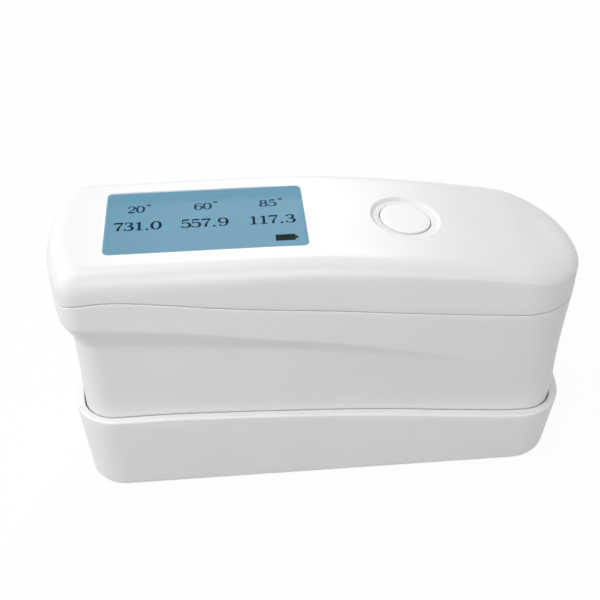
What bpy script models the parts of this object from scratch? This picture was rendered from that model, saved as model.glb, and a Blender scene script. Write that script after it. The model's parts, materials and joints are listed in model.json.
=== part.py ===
# Three-angle gloss meter standing in its calibration base.
# Origin at the bottom centre of the bounding box, +X towards the nose, +Y to the back, +Z up.
# All lengths in metres.

import math

import bmesh
import bpy
from mathutils import Matrix, Vector

MM = 0.001

# Overall sizes
LENGTH = 160.0 * MM
WIDTH = 50.0 * MM
HEIGHT = 89.92 * MM

# Clearances
GAP = 0.3 * MM
CASE_CLEAR = 0.35 * MM
SCREW_CLEAR = 0.3 * MM

# Calibration base
BASE_SHIFT = 0.6 * MM
BASE_BOTTOM_LENGTH_LESS = 4.9 * MM
BASE_BOTTOM_LENGTH = LENGTH - BASE_BOTTOM_LENGTH_LESS
BASE_BOTTOM_WIDTH_LESS = 6.4 * MM
BASE_BOTTOM_WIDTH = WIDTH - BASE_BOTTOM_WIDTH_LESS
BASE_BOTTOM_REAR_CORNER = 12.2 * MM
BASE_BOTTOM_NOSE_CORNER = 13.8 * MM
BASE_RIM_LENGTH_LESS = 1.4 * MM
BASE_RIM_LENGTH = LENGTH - BASE_RIM_LENGTH_LESS
BASE_RIM_WIDTH_LESS = 1.7 * MM
BASE_RIM_WIDTH = WIDTH - BASE_RIM_WIDTH_LESS
BASE_RIM_REAR_CORNER = 14.0 * MM
BASE_RIM_NOSE_CORNER = 15.6 * MM
BASE_END_ARC = 86.0 * MM
BASE_FILLET = 2.3 * MM
BASE_RIM_SOFT = 0.7 * MM
BASE_FLOOR_Z = 6.0 * MM

# Lower case
CASE_Z = BASE_FLOOR_Z + GAP
CASE_BOTTOM_LENGTH_LESS = 9.8 * MM
CASE_BOTTOM_LENGTH = LENGTH - CASE_BOTTOM_LENGTH_LESS
CASE_BOTTOM_WIDTH_LESS = 10.6 * MM
CASE_BOTTOM_WIDTH = WIDTH - CASE_BOTTOM_WIDTH_LESS
CASE_BOTTOM_CORNER = 9.6 * MM
CASE_BOTTOM_SOFT = 1.0 * MM
CASE_WAIST_Z = 0.3225 * HEIGHT
CASE_WAIST_LENGTH_LESS = 7.5 * MM
CASE_WAIST_LENGTH = LENGTH - CASE_WAIST_LENGTH_LESS
CASE_WAIST_WIDTH_LESS = 7.5 * MM
CASE_WAIST_WIDTH = WIDTH - CASE_WAIST_WIDTH_LESS
CASE_WAIST_CORNER = 10.4 * MM
CASE_END_ARC = 85.5 * MM
CASE_STEP_REAR_LESS = 3.7 * MM
CASE_STEP_REAR = LENGTH / 2 - CASE_STEP_REAR_LESS
CASE_STEP_NOSE_LESS = 0.8 * MM
CASE_STEP_NOSE = LENGTH / 2 - CASE_STEP_NOSE_LESS
CASE_STEP_WIDTH_LESS = 5.2 * MM
CASE_STEP_WIDTH = WIDTH - CASE_STEP_WIDTH_LESS
CASE_STEP_REAR_CORNER = 8.0 * MM
CASE_STEP_NOSE_CORNER = 17.0 * MM
CASE_STEP_NOSE_ARC = 34.0 * MM
CASE_FULL_Z = 0.6895 * HEIGHT
CASE_WALL = 2.0 * MM
CASE_FLOOR = 3.1 * MM
STEP_FULL_X = -0.375 * LENGTH
STEP_END_X = 0.325 * LENGTH
STEP_SOFT = 0.7 * MM
LIP_HEIGHT = 1.5 * MM
LIP_THICK = 1.0 * MM
LIP_DEPTH = 3.0 * MM

# Top cover
COVER_WALL = 2.0 * MM
COVER_REAR_CORNER = 7.1 * MM
COVER_REAR_ARC = 59.0 * MM
COVER_NOSE_CORNER = 19.5 * MM
COVER_NOSE_ARC = 28.5 * MM
COVER_FILLET = 4.9 * MM
COVER_REAR_FILLET = 7.2 * MM
COVER_CROWN = 0.38 * MM

# Display
WINDOW_REAR_MARGIN = 17.85 * MM
WINDOW_NOSE_MARGIN = 84.45 * MM
WINDOW_LENGTH = LENGTH - WINDOW_REAR_MARGIN - WINDOW_NOSE_MARGIN
WINDOW_X = -LENGTH / 2 + WINDOW_REAR_MARGIN + WINDOW_LENGTH / 2
WINDOW_WIDTH_LESS = 18.9 * MM
WINDOW_WIDTH = WIDTH - WINDOW_WIDTH_LESS
WINDOW_CORNER = 1.6 * MM
WINDOW_GAP = 0.25 * MM
WINDOW_DEEP = 0.52 * MM
WINDOW_TOP_Z = HEIGHT - WINDOW_DEEP
WINDOW_THICK = 1.8 * MM
PANEL_MARGIN = 1.4 * MM
PANEL_THICK = 2.2 * MM

# Button
BUTTON_X_LESS = 53.95 * MM
BUTTON_X = LENGTH / 2 - BUTTON_X_LESS
BUTTON_RADIUS = 7.65 * MM
BUTTON_EDGE = 0.4 * MM
BUTTON_FLANGE = 1.3 * MM
BUTTON_FLANGE_THICK = 0.9 * MM
BUTTON_FLANGE_DROP = 0.45 * MM
BUTTON_TRAVEL = 0.5 * MM
BUTTON_STEM_RADIUS = 2.0 * MM
BUTTON_STEM_CLEAR = 0.4 * MM
DISH_RADIUS = 10.9 * MM
DISH_FLOOR_RADIUS = 8.7 * MM
DISH_DEPTH = 0.9 * MM
BUTTON_DROP = 0.5 * MM
PLUNGER_RADIUS = 1.5 * MM
SWITCH_SIZE = 6.0 * MM
SWITCH_HEIGHT = 2.2 * MM
SWITCH_BORE = 1.95 * MM

# Main board
BOARD_DROP = 12.32 * MM
BOARD_Z = HEIGHT - BOARD_DROP
BOARD_THICK = 1.6 * MM
BOARD_REAR_X_MORE = 6.4 * MM
BOARD_REAR_X = -LENGTH / 2 + BOARD_REAR_X_MORE
BOARD_TONGUE_X_MORE = 2.7 * MM
BOARD_TONGUE_X = -LENGTH / 2 + BOARD_TONGUE_X_MORE
BOARD_TONGUE_WIDTH = 12.4 * MM
BOARD_NOSE_X_LESS = 38.0 * MM
BOARD_NOSE_X = LENGTH / 2 - BOARD_NOSE_X_LESS
BOARD_WIDTH_LESS = 17.0 * MM
BOARD_WIDTH = WIDTH - BOARD_WIDTH_LESS
BOARD_REAR_WIDTH_LESS = 19.2 * MM
BOARD_REAR_WIDTH = WIDTH - BOARD_REAR_WIDTH_LESS
BOARD_SCREW_X_LESS = 4.4 * MM
BOARD_SCREW_X = BOARD_NOSE_X - BOARD_SCREW_X_LESS
BOARD_SCREW_Y_LESS = 3.9 * MM
BOARD_SCREW_Y = BOARD_WIDTH / 2 - BOARD_SCREW_Y_LESS
BOARD_SCREW_GRIP = 2.6 * MM
BOSS_RADIUS = 2.4 * MM
CHIP_SIZE = 10.0 * MM
CHIP_HEIGHT = 1.2 * MM
CHIP_X_LESS = 31.0 * MM
CHIP_X = BOARD_NOSE_X - CHIP_X_LESS
BUZZER_RADIUS = 4.5 * MM
BUZZER_HEIGHT = 3.6 * MM
BUZZER_HOLE = 0.8 * MM
BUZZER_X_LESS = 13.0 * MM
BUZZER_X = BOARD_NOSE_X - BUZZER_X_LESS
PLUG_LENGTH = 6.0 * MM
PLUG_WIDTH = 10.0 * MM
PLUG_HEIGHT = 4.2 * MM
PLUG_X_MORE = 32.6 * MM
PLUG_X = BOARD_REAR_X + PLUG_X_MORE

# Case screws
REAR_PILLAR_X_MORE = 11.7 * MM
REAR_PILLAR_X = -LENGTH / 2 + REAR_PILLAR_X_MORE
NOSE_PILLAR_X_LESS = 13.5 * MM
NOSE_PILLAR_X = LENGTH / 2 - NOSE_PILLAR_X_LESS
PILLAR_Y_LESS = 13.0 * MM
PILLAR_Y = WIDTH / 2 - PILLAR_Y_LESS
PILLAR_RADIUS = 3.1 * MM
NOSE_PILLAR_Z_LESS = 27.92 * MM
NOSE_PILLAR_Z = HEIGHT - NOSE_PILLAR_Z_LESS
SCREW_HEAD_RADIUS = 1.9 * MM
SCREW_HEAD_HEIGHT = 1.3 * MM
SCREW_SHANK_RADIUS = 1.0 * MM
SCREW_SHOULDER = 5.0 * MM
SCREW_GRIP = 5.5 * MM

# Optical block
BLOCK_LENGTH_LESS = 36.0 * MM
BLOCK_LENGTH = LENGTH - BLOCK_LENGTH_LESS
BLOCK_WIDTH_LESS = 28.0 * MM
BLOCK_WIDTH = WIDTH - BLOCK_WIDTH_LESS
BLOCK_END_Z = 15.5 * MM
BLOCK_FACE_60_LESS = 12.0 * MM
BLOCK_FACE_60 = BLOCK_LENGTH / 2 - BLOCK_FACE_60_LESS
BLOCK_FACE_20_LESS = 41.92 * MM
BLOCK_FACE_20 = HEIGHT - BLOCK_FACE_20_LESS
BLOCK_FACE_HALF = 6.0 * MM
BEAM_START = 2.0 * MM
CHAMBER_LENGTH = 28.0 * MM
CHAMBER_WIDTH = 7.2 * MM
CHAMBER_HEIGHT = 7.0 * MM
SOURCE_20_IN = 7.5 * MM
LENS_20_IN = 17.0 * MM
SOURCE_60_IN = 8.5 * MM
LENS_60_IN = 18.0 * MM
SOURCE_85_IN = 4.4 * MM
LENS_85_IN = 8.8 * MM
BEAM_RADIUS = 3.0 * MM
BEAM_RADIUS_85 = 1.5 * MM
PIECE_GAP = 0.5 * MM
PIECE_GAP_85 = 0.3 * MM
BEAM_OUT = 1.0 * MM
BEAMS = {
    20: {"bore": BEAM_RADIUS, "piece": BEAM_RADIUS - PIECE_GAP, "source": BLOCK_FACE_20 - SOURCE_20_IN,
         "lens": BLOCK_FACE_20 - LENS_20_IN, "stop": BLOCK_FACE_20 + BEAM_OUT},
    60: {"bore": BEAM_RADIUS, "piece": BEAM_RADIUS - PIECE_GAP, "source": BLOCK_FACE_60 - SOURCE_60_IN,
         "lens": BLOCK_FACE_60 - LENS_60_IN, "stop": BLOCK_FACE_60 + BEAM_OUT},
    85: {"bore": BEAM_RADIUS_85, "piece": BEAM_RADIUS_85 - PIECE_GAP_85,
         "source": BLOCK_LENGTH / 2 - SOURCE_85_IN, "lens": BLOCK_LENGTH / 2 - LENS_85_IN,
         "stop": BLOCK_LENGTH / 2 + BEAM_OUT},
}
LENS_THICK = 1.4 * MM
LENS_DOME = 0.5 * MM
LED_ASPECT = 3.6
DETECTOR_ASPECT = 2.2

# Bottom plate and measuring opening
PLATE_LENGTH_LESS = 8.0 * MM
PLATE_LENGTH = BLOCK_LENGTH - PLATE_LENGTH_LESS
PLATE_WIDTH_MORE = 2.0 * MM
PLATE_WIDTH = BLOCK_WIDTH + PLATE_WIDTH_MORE
PLATE_THICK = 1.2 * MM
PLATE_RECESS = 0.1 * MM
PLATE_CORNER = 3.0 * MM
MEASURE_LENGTH = 54.0 * MM
MEASURE_WIDTH = 10.0 * MM
MEASURE_CORNER = 4.0 * MM
FLOOR_OPEN_LENGTH_LESS = 20.0 * MM
FLOOR_OPEN_LENGTH = PLATE_LENGTH - FLOOR_OPEN_LENGTH_LESS
FLOOR_OPEN_WIDTH = 11.0 * MM
FLOOR_OPEN_CORNER = 2.0 * MM
PLATE_SCREW_X_LESS = 5.0 * MM
PLATE_SCREW_X = PLATE_LENGTH / 2 - PLATE_SCREW_X_LESS
PLATE_SCREW_Y_LESS = 3.5 * MM
PLATE_SCREW_Y = PLATE_WIDTH / 2 - PLATE_SCREW_Y_LESS
PLATE_SCREW_LENGTH = 7.5 * MM

# Calibration tile
TILE_LENGTH_LESS = 24.0 * MM
TILE_LENGTH = PLATE_LENGTH - TILE_LENGTH_LESS
TILE_WIDTH_MORE = 4.0 * MM
TILE_WIDTH = PLATE_WIDTH + TILE_WIDTH_MORE
TILE_THICK = 2.9 * MM
TILE_DEEP = 0.1 * MM
TILE_CORNER = 1.5 * MM

# Inner frame, battery and sensor board
FRAME_REAR_X_MORE = 16.0 * MM
FRAME_REAR_X = -LENGTH / 2 + FRAME_REAR_X_MORE
FRAME_NOSE_X_LESS = 20.0 * MM
FRAME_NOSE_X = LENGTH / 2 - FRAME_NOSE_X_LESS
FRAME_WIDTH_LESS = 15.0 * MM
FRAME_WIDTH = WIDTH - FRAME_WIDTH_LESS
FRAME_THICK = 1.8 * MM
FRAME_RIB = 1.4 * MM
FRAME_RIB_HEIGHT = 4.0 * MM
FRAME_SCREW_Y_LESS = 4.5 * MM
FRAME_SCREW_Y = BLOCK_WIDTH / 2 - FRAME_SCREW_Y_LESS
FRAME_SCREW_GRIP = 5.5 * MM
BATTERY_LENGTH_LESS = 8.0 * MM
BATTERY_LENGTH = (FRAME_NOSE_X - FRAME_REAR_X) / 2 - BATTERY_LENGTH_LESS
BATTERY_WIDTH_LESS = 3.0 * MM
BATTERY_WIDTH = FRAME_WIDTH - BATTERY_WIDTH_LESS
BATTERY_THICK = 9.0 * MM
BATTERY_SOFT = 1.5 * MM
SENSOR_LENGTH_LESS = 10.0 * MM
SENSOR_LENGTH = (FRAME_NOSE_X - FRAME_REAR_X) / 2 - SENSOR_LENGTH_LESS
SENSOR_WIDTH_LESS = 5.0 * MM
SENSOR_WIDTH = FRAME_WIDTH - SENSOR_WIDTH_LESS
SENSOR_MARGIN = 3.0 * MM
SENSOR_X = FRAME_NOSE_X - SENSOR_MARGIN - SENSOR_LENGTH
SENSOR_SCREW_X_LESS = 8.0 * MM
SENSOR_SCREW_X = FRAME_NOSE_X - SENSOR_SCREW_X_LESS
SENSOR_SCREW_Y_LESS = 4.0 * MM
SENSOR_SCREW_Y = SENSOR_WIDTH / 2 - SENSOR_SCREW_Y_LESS
AMP_LENGTH = 7.0 * MM
AMP_WIDTH = 6.0 * MM
AMP_HEIGHT = 1.3 * MM
AMP_X = SENSOR_X + 0.35 * SENSOR_LENGTH

# USB socket
USB_WIDTH = 8.9 * MM
USB_HEIGHT = 3.2 * MM
USB_DEPTH = 7.4 * MM
USB_WALL = 0.35 * MM
USB_INSET = 0.5 * MM
USB_TONGUE_WIDTH = 6.4 * MM
USB_TONGUE_THICK = 0.7 * MM

# Ring stations along one half of a plan outline
END_STEPS = 3
CORNER_STEPS = 6
SIDE_STEPS = 14


# Curves given by stations: place as a share of the half length, height as a share of the scale

def smooth_curve(scale, stations):
    xs = [p[0] * LENGTH / 2 for p in stations]
    ys = [p[1] * scale for p in stations]
    n = len(xs)
    secants = [(ys[i + 1] - ys[i]) / (xs[i + 1] - xs[i]) for i in range(n - 1)]
    slopes = [secants[0]]
    for i in range(1, n - 1):
        a = secants[i - 1]
        b = secants[i]
        slopes.append(0.0 if a * b <= 0.0 else 2.0 * a * b / (a + b))
    slopes.append(secants[-1])

    def value(x):
        if x <= xs[0]:
            return ys[0]
        if x >= xs[-1]:
            return ys[-1]
        i = 0
        while x > xs[i + 1]:
            i += 1
        h = xs[i + 1] - xs[i]
        t = (x - xs[i]) / h
        t2 = t * t
        t3 = t2 * t
        part = (2 * t3 - 3 * t2 + 1) * ys[i] + (t3 - 2 * t2 + t) * h * slopes[i]
        return part + (-2 * t3 + 3 * t2) * ys[i + 1] + (t3 - t2) * h * slopes[i + 1]

    return value


# Height of the base's rim
rim_z = smooth_curve(HEIGHT, [
    (-1, 0.3470), (-0.8625, 0.3536), (-0.65, 0.3559), (-0.375, 0.3481), (-0.1, 0.3347),
    (0.05625, 0.3258), (0.275, 0.3092), (0.5875, 0.2769), (0.7875, 0.2613), (1, 0.2591)])
# Falls below the highest point, in mm: cover's top line, parting line of cover and lower case,
# and upper and lower edge of the band under the proud zone
top_drop = smooth_curve(MM, [
    (-0.5625, 0), (-0.2375, 0.05), (-0.05, 0.3), (0.00875, 0.6), (0.15875, 1.75),
    (0.42125, 4.3), (0.73375, 8.8), (0.88375, 12.5), (0.97125, 14.3), (1.00625, 15.6)])
seam_drop = smooth_curve(MM, [
    (-1, 12.42), (-0.95, 12.12), (-0.8875, 10.72), (-0.775, 10.12), (-0.58125, 11.72),
    (-0.40875, 13.82), (-0.20625, 15.72), (0.045, 17.62), (0.24875, 19.52), (0.5325, 21.92),
    (0.7125, 23.22), (1, 24.92)])
fillet_drop = smooth_curve(MM, [
    (-1, 7.4), (-0.8125, 7.6), (-0.6375, 7.5), (-0.475, 7.0), (-0.3125, 6.7), (-0.1, 6.1),
    (0.0875, 5.5), (0.25, 4.7), (0.4375, 4.2), (1, 3.6)])
step_top_drop = smooth_curve(MM, [
    (-1, 18.52), (-0.8125, 19.62), (-0.6125, 21.22), (-0.425, 23.32), (-0.2125, 26.22),
    (0.05, 29.82), (0.3375, 35.32), (0.525, 39.32), (0.65, 41.72), (1, 42.92)])
step_low_drop = smooth_curve(MM, [
    (-1, 27.52), (-0.9, 27.86), (-0.75, 28.55), (-0.5625, 29.62), (-0.35, 30.95), (-0.1375, 32.8),
    (0.0625, 35.25), (0.2625, 38.25), (0.425, 41.0), (0.5875, 43.74), (1, 45.42)])


def seam_z(x):
    return HEIGHT - seam_drop(x)


def step_top_z(x):
    return HEIGHT - step_top_drop(x)


def step_low_z(x):
    return HEIGHT - step_low_drop(x)


def top_z(x, y=0.0):
    return HEIGHT - top_drop(x) - COVER_CROWN * (2.0 * y / WIDTH) ** 2


# Plan outlines

class Plan:
    """Half outline: rear end arc, rear corner, straight side, nose corner, nose end arc."""

    def __init__(self, rear, nose, half_width, rear_corner, rear_arc, nose_corner, nose_arc, shift=0.0):
        self.values = (rear, nose, half_width, rear_corner, rear_arc, nose_corner, nose_arc)
        self.shift = shift

    def inset(self, e):
        rear, nose, half, rc, ra, nc, na = self.values
        rc = max(rc - e, 0.8 * MM)
        nc = max(nc - e, 0.8 * MM)
        return Plan(rear - e, nose - e, half - e, rc, ra - e, nc, na - e, self.shift)

    def points(self):
        rear, nose, half, rc, ra, nc, na = self.values
        left = [(-x, y) for x, y in end_points(rear, half, rc, ra)]
        left.reverse()
        right = end_points(nose, half, nc, na)
        x0 = left[-1][0]
        x1 = right[0][0]
        side = [(x0 + (x1 - x0) * i / SIDE_STEPS, -half) for i in range(1, SIDE_STEPS)]
        return [(x + self.shift, y) for x, y in left + side + right]


def end_points(reach, half, corner, arc):
    arc = max(arc, corner + 0.5 * MM, half + 0.1 * MM)
    arc_x = reach - arc
    rise = half - corner
    run = math.sqrt(max((arc - corner) ** 2 - rise ** 2, 1e-10))
    turn = math.atan2(rise, run)
    pts = []
    for i in range(CORNER_STEPS + 1):
        t = -math.pi / 2 + (math.pi / 2 - turn) * i / CORNER_STEPS
        pts.append((arc_x + run + corner * math.cos(t), -rise + corner * math.sin(t)))
    for i in range(1, END_STEPS + 1):
        t = -turn + turn * i / END_STEPS
        pts.append((arc_x + arc * math.cos(t), arc * math.sin(t)))
    pts[-1] = (reach, 0.0)
    return pts


def ring(plan, height):
    """One row of the half loft; height is a number or a function of x and y."""
    row = []
    for x, y in plan.points():
        z = height(x, y) if callable(height) else height
        row.append((x, y, z))
    return row


def follow(plan, row, offset):
    """Row of a plan that takes its heights from another row, station by station."""
    return [(x, y, p[2] + offset) for (x, y), p in zip(plan.points(), row)]


def blend(row_a, row_b, weight):
    row = []
    for a, b in zip(row_a, row_b):
        w = weight(a[0]) if callable(weight) else weight
        row.append(tuple(a[k] + (b[k] - a[k]) * w for k in range(3)))
    return row


def cap_rows(row, height, count):
    """Rows that close a ring towards the plane of symmetry."""
    rows = []
    for j in range(1, count + 1):
        s = 1.0 - j / count
        rows.append([(x, y * s, height(x, y * s)) for x, y, z in row])
    return rows


# Collections and helpers

for item in list(bpy.data.objects):
    bpy.data.objects.remove(item, do_unlink=True)

PARTS = bpy.data.collections.new("gloss_meter")
CUTTERS = bpy.data.collections.new("cutters")
bpy.context.scene.collection.children.link(PARTS)
bpy.context.scene.collection.children.link(CUTTERS)


def material(name, color, roughness, metallic=0.0, alpha=1.0):
    mat = bpy.data.materials.new(name)
    mat.use_nodes = True
    shader = mat.node_tree.nodes["Principled BSDF"]
    shader.inputs["Base Color"].default_value = (color[0], color[1], color[2], 1.0)
    shader.inputs["Roughness"].default_value = roughness
    shader.inputs["Metallic"].default_value = metallic
    shader.inputs["Alpha"].default_value = alpha
    return mat


def put(obj, collection):
    for old in list(obj.users_collection):
        old.objects.unlink(obj)
    collection.objects.link(obj)
    return obj


def finish(obj, look, smooth=True):
    put(obj, PARTS)
    obj.data.materials.clear()
    name, color, roughness, metallic = look
    obj.data.materials.append(material(obj.name + "_" + name, color, roughness, metallic))
    if smooth:
        obj.data.shade_smooth()
        obj.data.set_sharp_from_angle(angle=math.radians(35))
    return obj


def cutter(obj):
    put(obj, CUTTERS)
    obj.hide_render = True
    obj.display_type = "WIRE"
    return obj


def cut(obj, tool, operation="DIFFERENCE"):
    mod = obj.modifiers.new("cut", "BOOLEAN")
    mod.operation = operation
    mod.solver = "EXACT"
    mod.object = cutter(tool)
    return mod


def apply_modifiers(obj):
    graph = bpy.context.evaluated_depsgraph_get()
    mesh = bpy.data.meshes.new_from_object(obj.evaluated_get(graph))
    obj.modifiers.clear()
    obj.data = mesh
    return obj


def mesh_object(name, bm):
    bmesh.ops.recalc_face_normals(bm, faces=bm.faces)
    mesh = bpy.data.meshes.new(name)
    bm.to_mesh(mesh)
    bm.free()
    obj = bpy.data.objects.new(name, mesh)
    PARTS.objects.link(obj)
    return obj


def loft(name, rows, mirrored=True):
    """Skin of rows with equal counts; a row whose first and last points repeat shares them."""
    bm = bmesh.new()
    grid = []
    for row in rows:
        line = []
        for i, p in enumerate(row):
            edge = i == 0 or i == len(row) - 1
            if edge and grid and (Vector(p) - grid[-1][i].co).length < 1e-7:
                line.append(grid[-1][i])
            else:
                line.append(bm.verts.new(p))
        grid.append(line)
    for a, b in zip(grid, grid[1:]):
        for i in range(len(a) - 1):
            quad = []
            for v in (a[i], a[i + 1], b[i + 1], b[i]):
                if v not in quad:
                    quad.append(v)
            if len(quad) > 2:
                bm.faces.new(quad)
    obj = mesh_object(name, bm)
    if mirrored:
        mod = obj.modifiers.new("mirror", "MIRROR")
        mod.use_axis = (False, True, False)
        mod.merge_threshold = 0.00001
    return obj


def box(name, low, high):
    bpy.ops.mesh.primitive_cube_add(size=1.0)
    obj = bpy.context.object
    obj.name = name
    obj.data.name = name
    size = [h - l for l, h in zip(low, high)]
    centre = [(h + l) / 2 for l, h in zip(low, high)]
    obj.data.transform(Matrix.Diagonal((size[0], size[1], size[2], 1.0)))
    obj.location = centre
    return put(obj, PARTS)


def soften(obj, width, segments=2):
    mod = obj.modifiers.new("soften", "BEVEL")
    mod.width = width
    mod.segments = segments
    mod.limit_method = "ANGLE"
    mod.angle_limit = math.radians(40)
    return mod


def cylinder(name, radius, start, end, segments=16):
    start = Vector(start)
    end = Vector(end)
    axis = end - start
    bpy.ops.mesh.primitive_cylinder_add(vertices=segments, radius=radius, depth=axis.length)
    obj = bpy.context.object
    obj.name = name
    obj.data.name = name
    obj.rotation_mode = "QUATERNION"
    obj.rotation_quaternion = axis.to_track_quat("Z", "Y")
    obj.location = (start + end) / 2
    return put(obj, PARTS)


def turned(name, profile, place=None, steps=16):
    """Solid of revolution about +Z; the profile runs from top to bottom with its ends on the axis."""
    mesh = bpy.data.meshes.new(name)
    pts = [(r, 0.0, z) for r, z in profile]
    mesh.from_pydata(pts, [(i, i + 1) for i in range(len(pts) - 1)], [])
    obj = bpy.data.objects.new(name, mesh)
    PARTS.objects.link(obj)
    mod = obj.modifiers.new("turn", "SCREW")
    mod.steps = steps
    mod.render_steps = steps
    mod.use_merge_vertices = True
    mod.merge_threshold = 0.00001
    mod.use_normal_calculate = True
    if place is not None:
        obj.matrix_world = place
    return obj


def solid_turned(name, profile, place=None, steps=16):
    """Solid of revolution as plain mesh with outward faces."""
    obj = turned(name, profile, None, steps)
    bpy.context.view_layer.update()
    apply_modifiers(obj)
    bm = bmesh.new()
    bm.from_mesh(obj.data)
    bmesh.ops.remove_doubles(bm, verts=bm.verts, dist=0.000002)
    bmesh.ops.recalc_face_normals(bm, faces=bm.faces)
    bm.to_mesh(obj.data)
    bm.free()
    if place is not None:
        obj.matrix_world = place
    return obj


def outline_solid(name, points, z0, z1):
    """Flat outline in plan, extruded from z0 to z1."""
    curve = bpy.data.curves.new(name, "CURVE")
    curve.dimensions = "2D"
    curve.fill_mode = "BOTH"
    curve.extrude = (z1 - z0) / 2
    line = curve.splines.new("POLY")
    line.points.add(len(points) - 1)
    for p, (x, y) in zip(line.points, points):
        p.co = (x, y, 0.0, 1.0)
    line.use_cyclic_u = True
    source = bpy.data.objects.new(name + "_outline", curve)
    source.location = (0.0, 0.0, (z0 + z1) / 2)
    PARTS.objects.link(source)
    bpy.context.view_layer.update()
    graph = bpy.context.evaluated_depsgraph_get()
    mesh = bpy.data.meshes.new_from_object(source.evaluated_get(graph))
    obj = bpy.data.objects.new(name, mesh)
    PARTS.objects.link(obj)
    obj.matrix_world = source.matrix_world.copy()
    bpy.data.objects.remove(source, do_unlink=True)
    bm = bmesh.new()
    bm.from_mesh(mesh)
    bmesh.ops.remove_doubles(bm, verts=bm.verts, dist=0.000001)
    bmesh.ops.dissolve_limit(bm, angle_limit=0.001, verts=bm.verts, edges=bm.edges)
    bmesh.ops.recalc_face_normals(bm, faces=bm.faces)
    bm.to_mesh(mesh)
    bm.free()
    return obj


def rounded_rectangle(length, width, corner, steps=4, centre=(0.0, 0.0)):
    pts = []
    for sx, sy, start in ((1, 1, 0), (-1, 1, 90), (-1, -1, 180), (1, -1, 270)):
        cx = centre[0] + sx * (length / 2 - corner)
        cy = centre[1] + sy * (width / 2 - corner)
        for i in range(steps + 1):
            a = math.radians(start + 90.0 * i / steps)
            pts.append((cx + corner * math.cos(a), cy + corner * math.sin(a)))
    return pts


# Looks

WHITE = ("white_plastic", (0.86, 0.86, 0.86), 0.42, 0.0)
KEY_WHITE = ("key_plastic", (0.87, 0.87, 0.87), 0.4, 0.0)
BLACK = ("black_plastic", (0.02, 0.02, 0.022), 0.55, 0.0)
GLASS_BLACK = ("black_glass", (0.01, 0.01, 0.012), 0.06, 0.0)
LCD_BLUE = ("lcd_blue", (0.2, 0.38, 0.54), 0.35, 0.0)
CLEAR = ("clear_plastic", (0.75, 0.82, 0.88), 0.08, 0.0)
BOARD_GREEN = ("board_green", (0.02, 0.14, 0.06), 0.45, 0.0)
STEEL = ("steel", (0.55, 0.55, 0.56), 0.35, 1.0)
SILVER = ("aluminium", (0.75, 0.76, 0.77), 0.4, 1.0)
ALU_BLACK = ("black_anodised", (0.03, 0.03, 0.033), 0.5, 0.2)
WRAP = ("battery_wrap", (0.05, 0.16, 0.42), 0.4, 0.0)
FRAME_GREY = ("frame_grey", (0.25, 0.26, 0.27), 0.5, 0.0)
DIFFUSER = ("diffuser_white", (0.8, 0.82, 0.84), 0.5, 0.0)
LENS_CLEAR = ("lens_glass", (0.85, 0.88, 0.9), 0.03, 0.0)

# Calibration base

base_low = Plan(BASE_BOTTOM_LENGTH / 2, BASE_BOTTOM_LENGTH / 2, BASE_BOTTOM_WIDTH / 2,
                BASE_BOTTOM_REAR_CORNER, BASE_END_ARC, BASE_BOTTOM_NOSE_CORNER, BASE_END_ARC, BASE_SHIFT)
base_rim = Plan(BASE_RIM_LENGTH / 2, BASE_RIM_LENGTH / 2, BASE_RIM_WIDTH / 2,
                BASE_RIM_REAR_CORNER, BASE_END_ARC, BASE_RIM_NOSE_CORNER, BASE_END_ARC, BASE_SHIFT)
case_low = Plan(CASE_BOTTOM_LENGTH / 2, CASE_BOTTOM_LENGTH / 2, CASE_BOTTOM_WIDTH / 2, CASE_BOTTOM_CORNER,
                CASE_END_ARC, CASE_BOTTOM_CORNER, CASE_END_ARC, BASE_SHIFT)
case_waist = Plan(CASE_WAIST_LENGTH / 2, CASE_WAIST_LENGTH / 2, CASE_WAIST_WIDTH / 2, CASE_WAIST_CORNER,
                  CASE_END_ARC, CASE_WAIST_CORNER, CASE_END_ARC, BASE_SHIFT)


def flat(z):
    return lambda x, y: z


def between_plans(plan_a, z_a, plan_b, z_b, height):
    """Row on the straight wall between two plans, cut at the given height."""
    row_a = ring(plan_a, z_a)
    row_b = ring(plan_b, z_b)
    row = []
    for a, b in zip(row_a, row_b):
        x = a[0]
        for _ in range(3):
            z = height(x, a[1])
            w = (z - z_a) / (z_b - z_a)
            x = a[0] + (b[0] - a[0]) * w
        row.append((x, a[1] + (b[1] - a[1]) * w, z))
    return row


rows = []
foot = ring(base_low.inset(BASE_FILLET), 0.0)
rows += list(reversed(cap_rows(foot, flat(0.0), 1)))
for i in range(4):
    a = math.radians(30.0 * i)
    e = BASE_FILLET * (1 - math.sin(a))
    rows.append(ring(base_low.inset(e), BASE_FILLET * (1 - math.cos(a))))
base_wall_low = ring(base_low, BASE_FILLET)
rows.append(ring(base_rim, lambda x, y: rim_z(x) - BASE_RIM_SOFT))
rows.append(ring(base_rim.inset(BASE_RIM_SOFT), lambda x, y: rim_z(x)))
hole_low = case_low.inset(-CASE_CLEAR)
hole_waist = case_waist.inset(-CASE_CLEAR)
rows.append(between_plans(hole_low, CASE_Z, hole_waist, CASE_WAIST_Z, lambda x, y: rim_z(x)))
rows.append(ring(hole_low, CASE_Z + CASE_BOTTOM_SOFT))
rows.append(ring(hole_low.inset(CASE_BOTTOM_SOFT), BASE_FLOOR_Z))
rows += cap_rows(rows[-1], flat(BASE_FLOOR_Z), 1)
base = loft("calibration_base", rows)
tile_hole = outline_solid("tile_pocket", rounded_rectangle(TILE_LENGTH + 2 * GAP, TILE_WIDTH + 2 * GAP,
                          TILE_CORNER + GAP, 3), BASE_FLOOR_Z - TILE_THICK - GAP - TILE_DEEP,
                          BASE_FLOOR_Z + 3 * MM)
cut(base, tile_hole)
finish(base, WHITE)

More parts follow.
